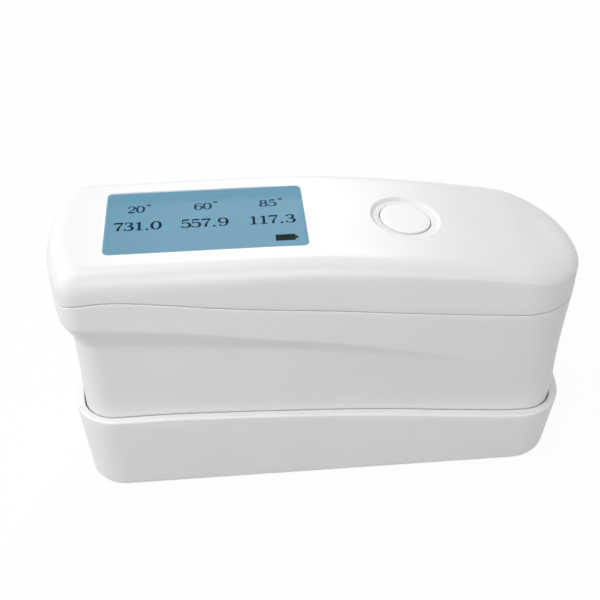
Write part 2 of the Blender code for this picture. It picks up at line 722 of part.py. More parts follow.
tile = outline_solid("calibration_tile", rounded_rectangle(TILE_LENGTH, TILE_WIDTH, TILE_CORNER, 3),
                     BASE_FLOOR_Z - TILE_THICK - TILE_DEEP, BASE_FLOOR_Z - TILE_DEEP)
finish(tile, GLASS_BLACK)

# Beams meet at the measuring point on the underside

AIM = Vector((0.0, 0.0, CASE_Z))


def beam_direction(angle, side):
    a = math.radians(angle)
    return Vector((side * math.sin(a), 0.0, math.cos(a)))


def beam_channel(name, angle, side):
    d = beam_direction(angle, side)
    end = BEAMS[angle]["stop"] + 2 * MM
    return cylinder(name, BEAMS[angle]["bore"], AIM + d * BEAM_START, AIM + d * end)


# Lower case

cover_plan = Plan(LENGTH / 2, LENGTH / 2, WIDTH / 2, COVER_REAR_CORNER, COVER_REAR_ARC, COVER_NOSE_CORNER,
                  COVER_NOSE_ARC)
step_plan = Plan(CASE_STEP_REAR, CASE_STEP_NOSE, CASE_STEP_WIDTH / 2, CASE_STEP_REAR_CORNER, COVER_REAR_ARC,
                 CASE_STEP_NOSE_CORNER, CASE_STEP_NOSE_ARC)


def step_fade(x):
    """0 where the step is full, 1 where it has run out."""
    t = min(max((STEP_END_X - x) / (STEP_END_X - STEP_FULL_X), 0.0), 1.0)
    return 1.0 - t ** 0.75


def proud_wall(height, inset=0.0):
    """Wall that widens from the waist to the full plan."""
    a = ring(case_waist.inset(inset), CASE_WAIST_Z)
    b = ring(cover_plan.inset(inset), CASE_WAIST_Z)
    row = []
    for p, q in zip(a, b):
        x = q[0]
        for _ in range(3):
            z = height(x, q[1])
            w = min(max((z - CASE_WAIST_Z) / (CASE_FULL_Z - CASE_WAIST_Z), 0.0), 1.0)
            x = p[0] + (q[0] - p[0]) * w
        row.append((x, p[1] + (q[1] - p[1]) * w, z))
    return row


def low_wall(height, inset=0.0):
    """Wall under the step, running out into the proud wall."""
    a = ring(case_waist.inset(inset), CASE_WAIST_Z)
    b = ring(step_plan.inset(inset), CASE_WAIST_Z)
    full = proud_wall(height, inset)
    row = []
    for p, q, u in zip(a, b, full):
        z = u[2]
        top = step_low_z(u[0])
        w = min(max((z - CASE_WAIST_Z) / (top - CASE_WAIST_Z), 0.0), 1.0)
        x = p[0] + (q[0] - p[0]) * w
        y = p[1] + (q[1] - p[1]) * w
        f = step_fade(u[0])
        row.append((x + (u[0] - x) * f, y + (u[1] - y) * f, z))
    return row


FLOOR_TOP = CASE_Z + CASE_FLOOR
seam_row = ring(cover_plan, lambda x, y: seam_z(x))
lip_out = COVER_WALL + GAP
lip_in = lip_out + LIP_THICK

rows = []
foot = ring(case_low.inset(CASE_BOTTOM_SOFT), CASE_Z)
rows += list(reversed(cap_rows(foot, flat(CASE_Z), 1)))
rows.append(foot)
rows.append(ring(case_low.inset(0.3 * CASE_BOTTOM_SOFT), CASE_Z + 0.3 * CASE_BOTTOM_SOFT))
rows.append(ring(case_low, CASE_Z + CASE_BOTTOM_SOFT))
rows.append(ring(case_waist, CASE_WAIST_Z))
rows.append(low_wall(lambda x, y: (CASE_WAIST_Z + step_low_z(x)) / 2))
rows.append(low_wall(lambda x, y: step_low_z(x) - STEP_SOFT))
step_foot = low_wall(lambda x, y: step_low_z(x))
step_head = proud_wall(lambda x, y: step_top_z(x) - STEP_SOFT)
rows.append(blend(step_foot, step_head, 0.06))
rows.append(blend(step_foot, step_head, 0.5))
rows.append(blend(step_foot, step_head, 0.94))
rows.append(proud_wall(lambda x, y: step_top_z(x) + STEP_SOFT))
rows.append(follow(cover_plan, seam_row, -GAP))
rows.append(follow(cover_plan.inset(lip_out), seam_row, -GAP))
rows.append(follow(cover_plan.inset(lip_out), seam_row, LIP_HEIGHT))
rows.append(follow(cover_plan.inset(lip_in), seam_row, LIP_HEIGHT))
rows.append(follow(cover_plan.inset(lip_in), seam_row, -LIP_DEPTH))
rows.append(low_wall(lambda x, y: step_low_z(x) + 0.5 * MM, CASE_WALL))
rows.append(ring(case_waist.inset(CASE_WALL), CASE_WAIST_Z))
rows.append(ring(case_low.inset(CASE_WALL), FLOOR_TOP + 0.8 * MM))
rows.append(ring(case_low.inset(CASE_WALL + 0.8 * MM), FLOOR_TOP))
rows += cap_rows(rows[-1], flat(FLOOR_TOP), 1)
lower = loft("lower_case", rows)

PILLARS = []
for px, name in ((REAR_PILLAR_X, "rear"), (NOSE_PILLAR_X, "nose")):
    for side, mark in ((-1, "front"), (1, "back")):
        top = BOARD_Z - GAP if name == "rear" else NOSE_PILLAR_Z
        boss = BOARD_Z + BOARD_THICK + GAP if name == "rear" else NOSE_PILLAR_Z + GAP
        PILLARS.append({"x": px, "y": side * PILLAR_Y, "top": top, "boss": boss, "name": name + "_" + mark})

for p in PILLARS:
    post = cylinder("pillar_" + p["name"], PILLAR_RADIUS, (p["x"], p["y"], FLOOR_TOP - 1.5 * MM),
                    (p["x"], p["y"], p["top"]))
    cut(lower, post, "UNION")
for p in PILLARS:
    shoulder = p["top"] - SCREW_SHOULDER
    p["shoulder"] = shoulder
    cut(lower, cylinder("counterbore_" + p["name"], SCREW_HEAD_RADIUS + SCREW_CLEAR,
                        (p["x"], p["y"], CASE_Z - 1 * MM), (p["x"], p["y"], shoulder)))
    cut(lower, cylinder("bore_" + p["name"], SCREW_SHANK_RADIUS + SCREW_CLEAR,
                        (p["x"], p["y"], shoulder - 0.5 * MM), (p["x"], p["y"], p["top"] + 1 * MM)))

PLATE_Z = CASE_Z + PLATE_RECESS
PLATE_TOP = PLATE_Z + PLATE_THICK
cut(lower, outline_solid("plate_recess", rounded_rectangle(PLATE_LENGTH + 2 * GAP, PLATE_WIDTH + 2 * GAP,
                         PLATE_CORNER + GAP, 3), CASE_Z - 1 * MM, PLATE_TOP + GAP))
cut(lower, outline_solid("floor_opening", rounded_rectangle(FLOOR_OPEN_LENGTH, FLOOR_OPEN_WIDTH,
                         FLOOR_OPEN_CORNER, 3), CASE_Z, FLOOR_TOP + 1 * MM))
for side in (-1, 1):
    cut(lower, beam_channel("beam_groove", 85, side))
for sx in (-1, 1):
    for sy in (-1, 1):
        x = sx * PLATE_SCREW_X
        y = sy * PLATE_SCREW_Y
        cut(lower, cylinder("floor_screw_hole", SCREW_SHANK_RADIUS + SCREW_CLEAR, (x, y, CASE_Z),
                            (x, y, FLOOR_TOP + 1 * MM), 12))
cut(lower, box("lip_notch", (BOARD_TONGUE_X - 0.8 * MM, -BOARD_TONGUE_WIDTH / 2 - 1 * MM, BOARD_Z - 1 * MM),
               (BOARD_REAR_X + 2 * MM, BOARD_TONGUE_WIDTH / 2 + 1 * MM, BOARD_Z + 6 * MM)))
finish(lower, WHITE)

# Top cover

rows = [seam_row]
for i in range(6):
    a = math.radians(18.0 * i)
    e = COVER_FILLET * (1 - math.cos(a))
    e_rear = COVER_REAR_FILLET * (1 - math.cos(a))
    plan = cover_plan.inset(e)
    v = list(plan.values)
    v[0] = cover_plan.values[0] - e_rear
    plan.values = tuple(v)

    def fillet_z(x, y, a=a):
        return top_z(x, y) - fillet_drop(x) * (1 - math.sin(a))

    rows.append(ring(plan, fillet_z))
rows += cap_rows(rows[-1], top_z, 3)
cover = loft("top_cover", rows)
shell = cover.modifiers.new("shell", "SOLIDIFY")
shell.thickness = COVER_WALL
shell.offset = -1.0
shell.use_even_offset = True
shell.use_rim = True

# Frame of the button: its axis is the cover's normal
step = 0.5 * MM
fall = (top_z(BUTTON_X + step) - top_z(BUTTON_X - step)) / (2 * step)
BUTTON_AXIS = Vector((-fall, 0.0, 1.0)).normalized()
BUTTON_POINT = Vector((BUTTON_X, 0.0, top_z(BUTTON_X)))
BUTTON_TILT = math.atan(-fall)
BUTTON_PLACE = Matrix.Translation(BUTTON_POINT) @ Matrix.Rotation(BUTTON_TILT, 4, "Y")

for p in PILLARS:
    ceiling = top_z(p["x"] + PILLAR_RADIUS) - 1.0 * MM
    p["pilot"] = p["boss"] + SCREW_GRIP + 1.0 * MM
    cut(cover, cylinder("cover_boss_" + p["name"], PILLAR_RADIUS, (p["x"], p["y"], p["boss"]),
                        (p["x"], p["y"], ceiling)), "UNION")
BOARD_BOSS_Z = BOARD_Z + BOARD_THICK + GAP
for side in (-1, 1):
    y = side * BOARD_SCREW_Y
    ceiling = top_z(BOARD_SCREW_X + BOSS_RADIUS) - 1.0 * MM
    cut(cover, cylinder("board_boss", BOSS_RADIUS, (BOARD_SCREW_X, y, BOARD_BOSS_Z),
                        (BOARD_SCREW_X, y, ceiling)), "UNION")
for p in PILLARS:
    cut(cover, cylinder("pilot_" + p["name"], SCREW_SHANK_RADIUS + SCREW_CLEAR,
                        (p["x"], p["y"], p["boss"] - 1 * MM), (p["x"], p["y"], p["pilot"]), 12))
BOARD_PILOT_Z = BOARD_BOSS_Z + BOARD_SCREW_GRIP + 0.6 * MM
for side in (-1, 1):
    y = side * BOARD_SCREW_Y
    cut(cover, cylinder("board_pilot", SCREW_SHANK_RADIUS + SCREW_CLEAR,
                        (BOARD_SCREW_X, y, BOARD_BOSS_Z - 1 * MM), (BOARD_SCREW_X, y, BOARD_PILOT_Z), 12))
cut(cover, outline_solid("window_opening", rounded_rectangle(WINDOW_LENGTH + 2 * WINDOW_GAP,
                         WINDOW_WIDTH + 2 * WINDOW_GAP, WINDOW_CORNER + WINDOW_GAP, 3, (WINDOW_X, 0.0)),
                         WINDOW_TOP_Z - 6 * MM, HEIGHT + 3 * MM))
dish_profile = [(0.0, 3 * MM), (DISH_RADIUS + 1.2 * MM, 3 * MM), (DISH_RADIUS, 0.05 * MM),
                (DISH_RADIUS - 0.5 * MM, -0.45 * DISH_DEPTH), (DISH_FLOOR_RADIUS, -DISH_DEPTH),
                (BUTTON_RADIUS + GAP, -DISH_DEPTH), (BUTTON_RADIUS + GAP, -6 * MM), (0.0, -6 * MM)]
cut(cover, solid_turned("button_dish", dish_profile, BUTTON_PLACE, 32))

USB_Z = BOARD_Z + BOARD_THICK + GAP
USB_FACE_X = -LENGTH / 2 + USB_INSET


def stadium(width, height, steps=4):
    """Outline of a slot with round ends, in its own plane."""
    r = height / 2
    pts = []
    for sx, start in ((1, -90), (-1, 90)):
        for i in range(steps + 1):
            a = math.radians(start + 180.0 * i / steps)
            pts.append((sx * (width / 2 - r) + r * math.cos(a), r * math.sin(a)))
    return pts


def slot_solid(name, width, height, x0, x1):
    """Slot outline across Y and Z, extruded along X."""
    obj = outline_solid(name, stadium(width, height), x0, x1)
    turn = Matrix(((0, 0, 1, 0), (1, 0, 0, 0), (0, 1, 0, 0), (0, 0, 0, 1)))
    obj.data.transform(obj.matrix_world)
    obj.matrix_world = Matrix.Translation((0.0, 0.0, USB_Z + USB_HEIGHT / 2)) @ turn
    return obj


cut(cover, slot_solid("usb_opening", USB_WIDTH + 2 * GAP, USB_HEIGHT + 2 * GAP, -LENGTH / 2 - 2 * MM,
                      -LENGTH / 2 + 4 * MM))
finish(cover, WHITE)

# Display

window = outline_solid("display_window", rounded_rectangle(WINDOW_LENGTH, WINDOW_WIDTH, WINDOW_CORNER, 3,
                       (WINDOW_X, 0.0)), WINDOW_TOP_Z - WINDOW_THICK, WINDOW_TOP_Z)
finish(window, CLEAR)
PANEL_TOP = WINDOW_TOP_Z - WINDOW_THICK - GAP
PANEL_Z = PANEL_TOP - PANEL_THICK
px0 = WINDOW_X - WINDOW_LENGTH / 2 - PANEL_MARGIN
px1 = WINDOW_X + WINDOW_LENGTH / 2 + PANEL_MARGIN
py = WINDOW_WIDTH / 2 + PANEL_MARGIN
panel = box("lcd_panel", (px0, -py, PANEL_Z), (px1, py, PANEL_TOP))
finish(panel, LCD_BLUE, False)
light = box("lcd_backlight", (px0, -py, BOARD_Z + BOARD_THICK + GAP), (px1, py, PANEL_Z - GAP))
finish(light, DIFFUSER, False)

# Button, plunger and key switch

ROOF = -COVER_WALL - BUTTON_FLANGE_DROP
SWITCH_Z = BOARD_Z + BOARD_THICK + GAP
SWITCH_TOP = SWITCH_Z + SWITCH_HEIGHT
switch_depth = (BUTTON_POINT.z - SWITCH_TOP) / BUTTON_AXIS.z
stem_end = BUTTON_TRAVEL + BUTTON_STEM_CLEAR - switch_depth
key_profile = [(0.0, -BUTTON_DROP), (BUTTON_RADIUS - BUTTON_EDGE, -BUTTON_DROP),
               (BUTTON_RADIUS - 0.3 * BUTTON_EDGE, -BUTTON_DROP - 0.3 * BUTTON_EDGE),
               (BUTTON_RADIUS, -BUTTON_DROP - BUTTON_EDGE), (BUTTON_RADIUS, ROOF),
               (BUTTON_RADIUS + BUTTON_FLANGE, ROOF),
               (BUTTON_RADIUS + BUTTON_FLANGE, ROOF - BUTTON_FLANGE_THICK),
               (BUTTON_STEM_RADIUS, ROOF - BUTTON_FLANGE_THICK), (BUTTON_STEM_RADIUS, stem_end),
               (0.0, stem_end)]
key = solid_turned("button_cap", key_profile, BUTTON_PLACE, 32)
finish(key, KEY_WHITE)
plunger_top = stem_end - GAP
plunger_low = -switch_depth - BUTTON_TRAVEL
plunger_profile = [(0.0, plunger_top), (PLUNGER_RADIUS - 0.2 * MM, plunger_top),
                   (PLUNGER_RADIUS, plunger_top - 0.2 * MM), (PLUNGER_RADIUS, plunger_low),
                   (0.0, plunger_low)]
plunger = solid_turned("switch_plunger", plunger_profile, BUTTON_PLACE, 16)
finish(plunger, BLACK)
foot_point = BUTTON_PLACE @ Vector((0.0, 0.0, plunger_low))
SWITCH_X = foot_point.x
switch = box("key_switch", (SWITCH_X - SWITCH_SIZE / 2, -SWITCH_SIZE / 2, SWITCH_Z),
             (SWITCH_X + SWITCH_SIZE / 2, SWITCH_SIZE / 2, SWITCH_TOP))
cut(switch, cylinder("switch_bore", SWITCH_BORE, (SWITCH_X, 0.0, SWITCH_Z + 0.5 * MM),
                     (SWITCH_X, 0.0, SWITCH_TOP + 1 * MM)))
finish(switch, STEEL)

# Main board and its pieces

b0 = BOARD_REAR_WIDTH / 2
b1 = BOARD_WIDTH / 2
notch = REAR_PILLAR_X + 5.4 * MM
bt = BOARD_TONGUE_WIDTH / 2
board_outline = [(BOARD_REAR_X, -b0), (notch, -b0), (notch + 0.7 * MM, -b1), (BOARD_NOSE_X, -b1),
                 (BOARD_NOSE_X, b1), (notch + 0.7 * MM, b1), (notch, b0), (BOARD_REAR_X, b0),
                 (BOARD_REAR_X, bt), (BOARD_TONGUE_X, bt), (BOARD_TONGUE_X, -bt), (BOARD_REAR_X, -bt)]
board = outline_solid("main_board", board_outline, BOARD_Z, BOARD_Z + BOARD_THICK)
holes = [(REAR_PILLAR_X, -PILLAR_Y), (REAR_PILLAR_X, PILLAR_Y), (BOARD_SCREW_X, -BOARD_SCREW_Y),
         (BOARD_SCREW_X, BOARD_SCREW_Y)]
for x, y in holes:
    cut(board, cylinder("board_hole", SCREW_SHANK_RADIUS + SCREW_CLEAR, (x, y, BOARD_Z - 1 * MM),
                        (x, y, BOARD_Z + BOARD_THICK + 1 * MM), 12))
finish(board, BOARD_GREEN)
under = BOARD_Z - GAP
chip = box("processor_chip", (CHIP_X - CHIP_SIZE / 2, -CHIP_SIZE / 2, under - CHIP_HEIGHT),
           (CHIP_X + CHIP_SIZE / 2, CHIP_SIZE / 2, under))
finish(chip, BLACK, False)
buzzer_low = under - BUZZER_HEIGHT
buzzer = cylinder("buzzer", BUZZER_RADIUS, (BUZZER_X, 0.0, buzzer_low), (BUZZER_X, 0.0, under), 24)
cut(buzzer, cylinder("buzzer_hole", BUZZER_HOLE, (BUZZER_X, 0.0, buzzer_low - 1 * MM),
                     (BUZZER_X, 0.0, buzzer_low + 0.45 * BUZZER_HEIGHT), 12))
finish(buzzer, BLACK)
plug = box("battery_connector", (PLUG_X - PLUG_LENGTH / 2, -PLUG_WIDTH / 2, under - PLUG_HEIGHT),
           (PLUG_X + PLUG_LENGTH / 2, PLUG_WIDTH / 2, under))
soften(plug, 0.4 * MM, 1)
finish(plug, DIFFUSER, False)
usb = slot_solid("usb_socket", USB_WIDTH, USB_HEIGHT, USB_FACE_X, USB_FACE_X + USB_DEPTH)
cut(usb, slot_solid("usb_mouth", USB_WIDTH - 2 * USB_WALL, USB_HEIGHT - 2 * USB_WALL, USB_FACE_X - 1 * MM,
                    USB_FACE_X + 0.8 * USB_DEPTH))
tongue_z = USB_Z + USB_HEIGHT / 2
tongue_low = (USB_FACE_X + 0.11 * USB_DEPTH, -USB_TONGUE_WIDTH / 2, tongue_z - USB_TONGUE_THICK / 2)
tongue_high = (USB_FACE_X + 0.9 * USB_DEPTH, USB_TONGUE_WIDTH / 2, tongue_z + USB_TONGUE_THICK / 2)
cut(usb, box("usb_tongue", tongue_low, tongue_high), "UNION")
finish(usb, SILVER)

# Bottom plate

plate = outline_solid("bottom_plate", rounded_rectangle(PLATE_LENGTH, PLATE_WIDTH, PLATE_CORNER, 3),
                      PLATE_Z, PLATE_TOP)
cut(plate, outline_solid("measuring_opening", rounded_rectangle(MEASURE_LENGTH, MEASURE_WIDTH,
                         MEASURE_CORNER, 4), PLATE_Z - 1 * MM, PLATE_TOP + 1 * MM))
for sx in (-1, 1):
    for sy in (-1, 1):
        x = sx * PLATE_SCREW_X
        y = sy * PLATE_SCREW_Y
        sink = [(0.0, 3 * MM), (SCREW_SHANK_RADIUS + SCREW_CLEAR, 3 * MM),
                (SCREW_SHANK_RADIUS + SCREW_CLEAR, PLATE_THICK - 0.2 * MM),
                (SCREW_HEAD_RADIUS + SCREW_CLEAR, -0.1 * MM), (SCREW_HEAD_RADIUS + SCREW_CLEAR, -1 * MM),
                (0.0, -1 * MM)]
        cut(plate, solid_turned("countersink", sink, Matrix.Translation((x, y, PLATE_Z)), 12))
finish(plate, ALU_BLACK)

# Optical block

BLOCK_Z = FLOOR_TOP + GAP


def face_points(angle, distance):
    d = beam_direction(angle, 1)
    across = Vector((d.z, 0.0, -d.x))
    centre = AIM + d * distance
    low = centre + across * BLOCK_FACE_HALF
    high = centre - across * BLOCK_FACE_HALF
    return [(low.x, low.z), (high.x, high.z)]


half = [(BLOCK_LENGTH / 2, BLOCK_Z), (BLOCK_LENGTH / 2, BLOCK_END_Z)] + face_points(60, BLOCK_FACE_60)
half += face_points(20, BLOCK_FACE_20)
profile = half + [(-x, z) for x, z in reversed(half)]
BLOCK_TOP = max(z for x, z in half)
block = outline_solid("optical_block", profile, -BLOCK_WIDTH / 2, BLOCK_WIDTH / 2)
block.data.transform(Matrix.Rotation(math.radians(90), 4, "X") @ block.matrix_world)
block.matrix_world = Matrix.Identity(4)
for angle, b in BEAMS.items():
    for side in (-1, 1):
        cut(block, beam_channel("channel_" + str(angle), angle, side))
chamber = box("beam_chamber", (-CHAMBER_LENGTH / 2, -CHAMBER_WIDTH / 2, BLOCK_Z - 1 * MM),
              (CHAMBER_LENGTH / 2, CHAMBER_WIDTH / 2, BLOCK_Z + CHAMBER_HEIGHT))
cut(block, chamber)
for sx in (-1, 1):
    for sy in (-1, 1):
        x = sx * PLATE_SCREW_X
        y = sy * PLATE_SCREW_Y
        cut(block, cylinder("block_pilot", SCREW_SHANK_RADIUS + SCREW_CLEAR, (x, y, BLOCK_Z - 1 * MM),
                            (x, y, PLATE_Z + PLATE_SCREW_LENGTH + 0.8 * MM), 12))
for side in (-1, 1):
    y = side * FRAME_SCREW_Y
    cut(block, cylinder("frame_pilot", SCREW_SHANK_RADIUS + SCREW_CLEAR,
                        (0.0, y, BLOCK_TOP - FRAME_SCREW_GRIP - 1 * MM), (0.0, y, BLOCK_TOP + 1 * MM), 12))
finish(block, ALU_BLACK)

for angle, b in BEAMS.items():
    for side, role in ((-1, "source"), (1, "receiver")):
        d = beam_direction(angle, side)
        spin = d.to_track_quat("Z", "Y").to_matrix().to_4x4()
        r = b["piece"]
        seat = Matrix.Translation(AIM + d * b["source"]) @ spin
        if role == "source":
            long = LED_ASPECT * r
            dome = [(0.0, long), (r, long), (r, 0.9 * r), (0.82 * r, 0.42 * r), (0.45 * r, 0.12 * r),
                    (0.0, 0.0)]
            piece = solid_turned("led_" + str(angle), dome, seat, 16)
            finish(piece, LENS_CLEAR)
        else:
            long = DETECTOR_ASPECT * r
            can = [(0.0, long), (r, long), (r, 0.3 * MM), (r - 0.3 * MM, 0.0), (0.0, 0.0)]
            piece = solid_turned("detector_" + str(angle), can, seat, 16)
            finish(piece, SILVER)
        seat = Matrix.Translation(AIM + d * b["lens"]) @ spin
        lens = [(0.0, LENS_THICK), (r, LENS_THICK), (r, LENS_DOME), (0.6 * r, 0.3 * LENS_DOME), (0.0, 0.0)]
        piece = solid_turned("lens_" + role + "_" + str(angle), lens, seat, 16)
        finish(piece, LENS_CLEAR)

# Inner frame, battery and sensor board

FRAME_Z = BLOCK_TOP + GAP
FRAME_TOP = FRAME_Z + FRAME_THICK
w = FRAME_WIDTH / 2
frame = box("inner_frame", (FRAME_REAR_X, -w, FRAME_Z), (FRAME_NOSE_X, w, FRAME_TOP))
bx0 = FRAME_REAR_X + FRAME_RIB + GAP
bx1 = bx0 + BATTERY_LENGTH
for x in (FRAME_REAR_X, bx1 + GAP):
    cut(frame, box("frame_rib", (x, -w + 0.05 * MM, FRAME_TOP - 0.6 * MM), (x + FRAME_RIB, w - 0.05 * MM,
                   FRAME_TOP + FRAME_RIB_HEIGHT)), "UNION")
for side in (-1, 1):
    y = side * FRAME_SCREW_Y
    cut(frame, cylinder("frame_hole", SCREW_SHANK_RADIUS + SCREW_CLEAR, (0.0, y, FRAME_Z - 1 * MM),
                        (0.0, y, FRAME_TOP + 1 * MM), 12))
for side in (-1, 1):
    y = side * SENSOR_SCREW_Y
    cut(frame, cylinder("sensor_hole", SCREW_SHANK_RADIUS + SCREW_CLEAR,
                        (SENSOR_SCREW_X, y, FRAME_Z - 1 * MM), (SENSOR_SCREW_X, y, FRAME_TOP + 1 * MM), 12))
finish(frame, FRAME_GREY, False)
battery = box("battery", (bx0, -BATTERY_WIDTH / 2, FRAME_TOP + GAP),
              (bx1, BATTERY_WIDTH / 2, FRAME_TOP + GAP + BATTERY_THICK))
soften(battery, BATTERY_SOFT, 2)
finish(battery, WRAP)
sensor_z = FRAME_TOP + GAP
sensor = box("sensor_board", (SENSOR_X, -SENSOR_WIDTH / 2, sensor_z),
             (SENSOR_X + SENSOR_LENGTH, SENSOR_WIDTH / 2, sensor_z + BOARD_THICK))
for side in (-1, 1):
    y = side * SENSOR_SCREW_Y
    cut(sensor, cylinder("sensor_board_hole", SCREW_SHANK_RADIUS + SCREW_CLEAR,
                         (SENSOR_SCREW_X, y, sensor_z - 1 * MM),
                         (SENSOR_SCREW_X, y, sensor_z + BOARD_THICK + 1 * MM), 12))
finish(sensor, BOARD_GREEN, False)
amp_z = sensor_z + BOARD_THICK + GAP
amp = box("amplifier_chip", (AMP_X, -AMP_WIDTH / 2, amp_z),
          (AMP_X + AMP_LENGTH, AMP_WIDTH / 2, amp_z + AMP_HEIGHT))
finish(amp, BLACK, False)


# Screws

def pan_screw(name, place, length, head=SCREW_HEAD_RADIUS):
    """Head above z = 0, shank below."""
    h = SCREW_HEAD_HEIGHT
    profile = [(0.0, h - 0.5 * MM), (0.5 * head, h - 0.5 * MM), (0.6 * head, h), (head, 0.6 * h),
               (head, 0.0), (SCREW_SHANK_RADIUS, 0.0), (SCREW_SHANK_RADIUS, -length), (0.0, -length)]
    return finish(solid_turned(name, profile, place, 10), STEEL)


UPSIDE = Matrix.Rotation(math.pi, 4, "X")
for p in PILLARS:
    seat = Matrix.Translation((p["x"], p["y"], p["shoulder"] - GAP)) @ UPSIDE
    pan_screw("case_screw_" + p["name"], seat, p["boss"] + SCREW_GRIP - p["shoulder"] + GAP)
for side, mark in ((-1, "front"), (1, "back")):
    seat = Matrix.Translation((BOARD_SCREW_X, side * BOARD_SCREW_Y, BOARD_Z - GAP)) @ UPSIDE
    pan_screw("board_screw_" + mark, seat, BOARD_BOSS_Z + BOARD_SCREW_GRIP - BOARD_Z + GAP)
    seat = Matrix.Translation((0.0, side * FRAME_SCREW_Y, FRAME_TOP + GAP))
    pan_screw("frame_screw_" + mark, seat, FRAME_THICK + 2 * GAP + FRAME_SCREW_GRIP)
    seat = Matrix.Translation((SENSOR_SCREW_X, side * SENSOR_SCREW_Y, sensor_z + BOARD_THICK + GAP))
    pan_screw("sensor_screw_" + mark, seat, BOARD_THICK + FRAME_THICK + 3 * GAP)
for sx, end in ((-1, "rear"), (1, "nose")):
    for sy, mark in ((-1, "front"), (1, "back")):
        place = Matrix.Translation((sx * PLATE_SCREW_X, sy * PLATE_SCREW_Y, PLATE_Z + 0.1 * MM))
        profile = [(0.0, PLATE_SCREW_LENGTH), (SCREW_SHANK_RADIUS, PLATE_SCREW_LENGTH),
                   (SCREW_SHANK_RADIUS, PLATE_THICK - 0.3 * MM), (SCREW_HEAD_RADIUS - 0.1 * MM, 0.0),
                   (0.5 * SCREW_HEAD_RADIUS, 0.0), (0.5 * SCREW_HEAD_RADIUS, 0.4 * MM), (0.0, 0.4 * MM)]
        screw = solid_turned("plate_screw_" + end + "_" + mark, profile, place, 10)
        finish(screw, STEEL)

bpy.context.view_layer.update()
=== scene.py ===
"""Looks of the gloss meter in its calibration base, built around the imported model. Lengths in metres."""

import json
import math

import bmesh
import bpy
from mathutils import Matrix, Vector


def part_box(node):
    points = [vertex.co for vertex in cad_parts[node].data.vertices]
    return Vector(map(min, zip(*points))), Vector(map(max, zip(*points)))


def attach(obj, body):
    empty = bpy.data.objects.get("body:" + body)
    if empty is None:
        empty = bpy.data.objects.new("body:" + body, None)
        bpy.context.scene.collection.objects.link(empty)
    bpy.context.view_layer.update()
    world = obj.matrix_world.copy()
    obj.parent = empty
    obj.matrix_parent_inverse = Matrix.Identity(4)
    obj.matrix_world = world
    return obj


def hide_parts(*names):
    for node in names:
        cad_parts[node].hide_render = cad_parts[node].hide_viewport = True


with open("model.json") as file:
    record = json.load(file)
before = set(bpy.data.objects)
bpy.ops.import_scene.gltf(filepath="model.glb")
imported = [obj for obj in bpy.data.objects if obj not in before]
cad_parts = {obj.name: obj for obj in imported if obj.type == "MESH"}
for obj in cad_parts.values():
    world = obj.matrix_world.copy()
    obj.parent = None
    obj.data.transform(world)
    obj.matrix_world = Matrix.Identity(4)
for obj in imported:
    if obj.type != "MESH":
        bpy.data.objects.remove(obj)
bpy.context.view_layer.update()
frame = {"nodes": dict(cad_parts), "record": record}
BODY = "meter_in_base"
KEY_BODY = "button"
MM = 0.001

# Overall sizes and clearances, as in the source of the solids

LENGTH = 160.0 * MM
WIDTH = 50.0 * MM
HEIGHT = 89.92 * MM
GAP = 0.3 * MM
CASE_CLEAR = 0.35 * MM

# Calibration base; an even outline is given by its length, width, rear corner and nose corner

BASE_SHIFT = 0.6 * MM
BASE_BOTTOM = (LENGTH - 4.9 * MM, WIDTH - 6.4 * MM, 12.2 * MM, 13.8 * MM)
BASE_RIM = (LENGTH - 1.4 * MM, WIDTH - 1.7 * MM, 14.0 * MM, 15.6 * MM)
BASE_END_ARC = 86.0 * MM
BASE_FILLET = 2.3 * MM
BASE_RIM_SOFT = 0.7 * MM
BASE_RIM_INNER_SOFT = 0.35 * MM
BASE_FLOOR_Z = 6.0 * MM
TILE_CORNER = 1.5 * MM

# Lower case

CASE_Z = BASE_FLOOR_Z + GAP
CASE_BOTTOM = (LENGTH - 9.8 * MM, WIDTH - 10.6 * MM, 9.6 * MM, 9.6 * MM)
CASE_BOTTOM_SOFT = 1.0 * MM
CASE_WAIST = (LENGTH - 7.5 * MM, WIDTH - 7.5 * MM, 10.4 * MM, 10.4 * MM)
CASE_WAIST_Z = 29.0 * MM
CASE_END_ARC = 85.5 * MM
CASE_FULL_Z = 62.0 * MM
CASE_WALL = 2.0 * MM
FLOOR_TOP = CASE_Z + 3.1 * MM
FLOOR_SOFT = 0.8 * MM
STEP_REAR = LENGTH / 2 - 3.7 * MM
STEP_NOSE = LENGTH / 2 - 0.8 * MM
STEP_WIDTH = WIDTH - 5.2 * MM
STEP_REAR_CORNER = 8.0 * MM
STEP_NOSE_CORNER = 17.0 * MM
STEP_NOSE_ARC = 34.0 * MM
STEP_FULL_X = -0.375 * LENGTH
STEP_END_X = 0.325 * LENGTH
STEP_FADE_POWER = 0.75
STEP_SOFT = 0.7 * MM
STEP_INNER_RISE = 0.5 * MM
BAND_SOFT = 0.13
LIP_HEIGHT = 1.5 * MM
LIP_THICK = 1.0 * MM
LIP_DEPTH = 3.0 * MM
SEAM_SOFT = 0.25 * MM

# Top cover

COVER_WALL = 2.0 * MM
COVER_REAR_CORNER = 7.1 * MM
COVER_REAR_ARC = 59.0 * MM
COVER_NOSE_CORNER = 19.5 * MM
COVER_NOSE_ARC = 28.5 * MM
COVER_FILLET = 4.9 * MM
COVER_REAR_FILLET = 7.2 * MM
COVER_NOSE_FILLET = 9.4 * MM
COVER_CROWN = 0.38 * MM
BOSS_SUNK = 1.0 * MM

# Display

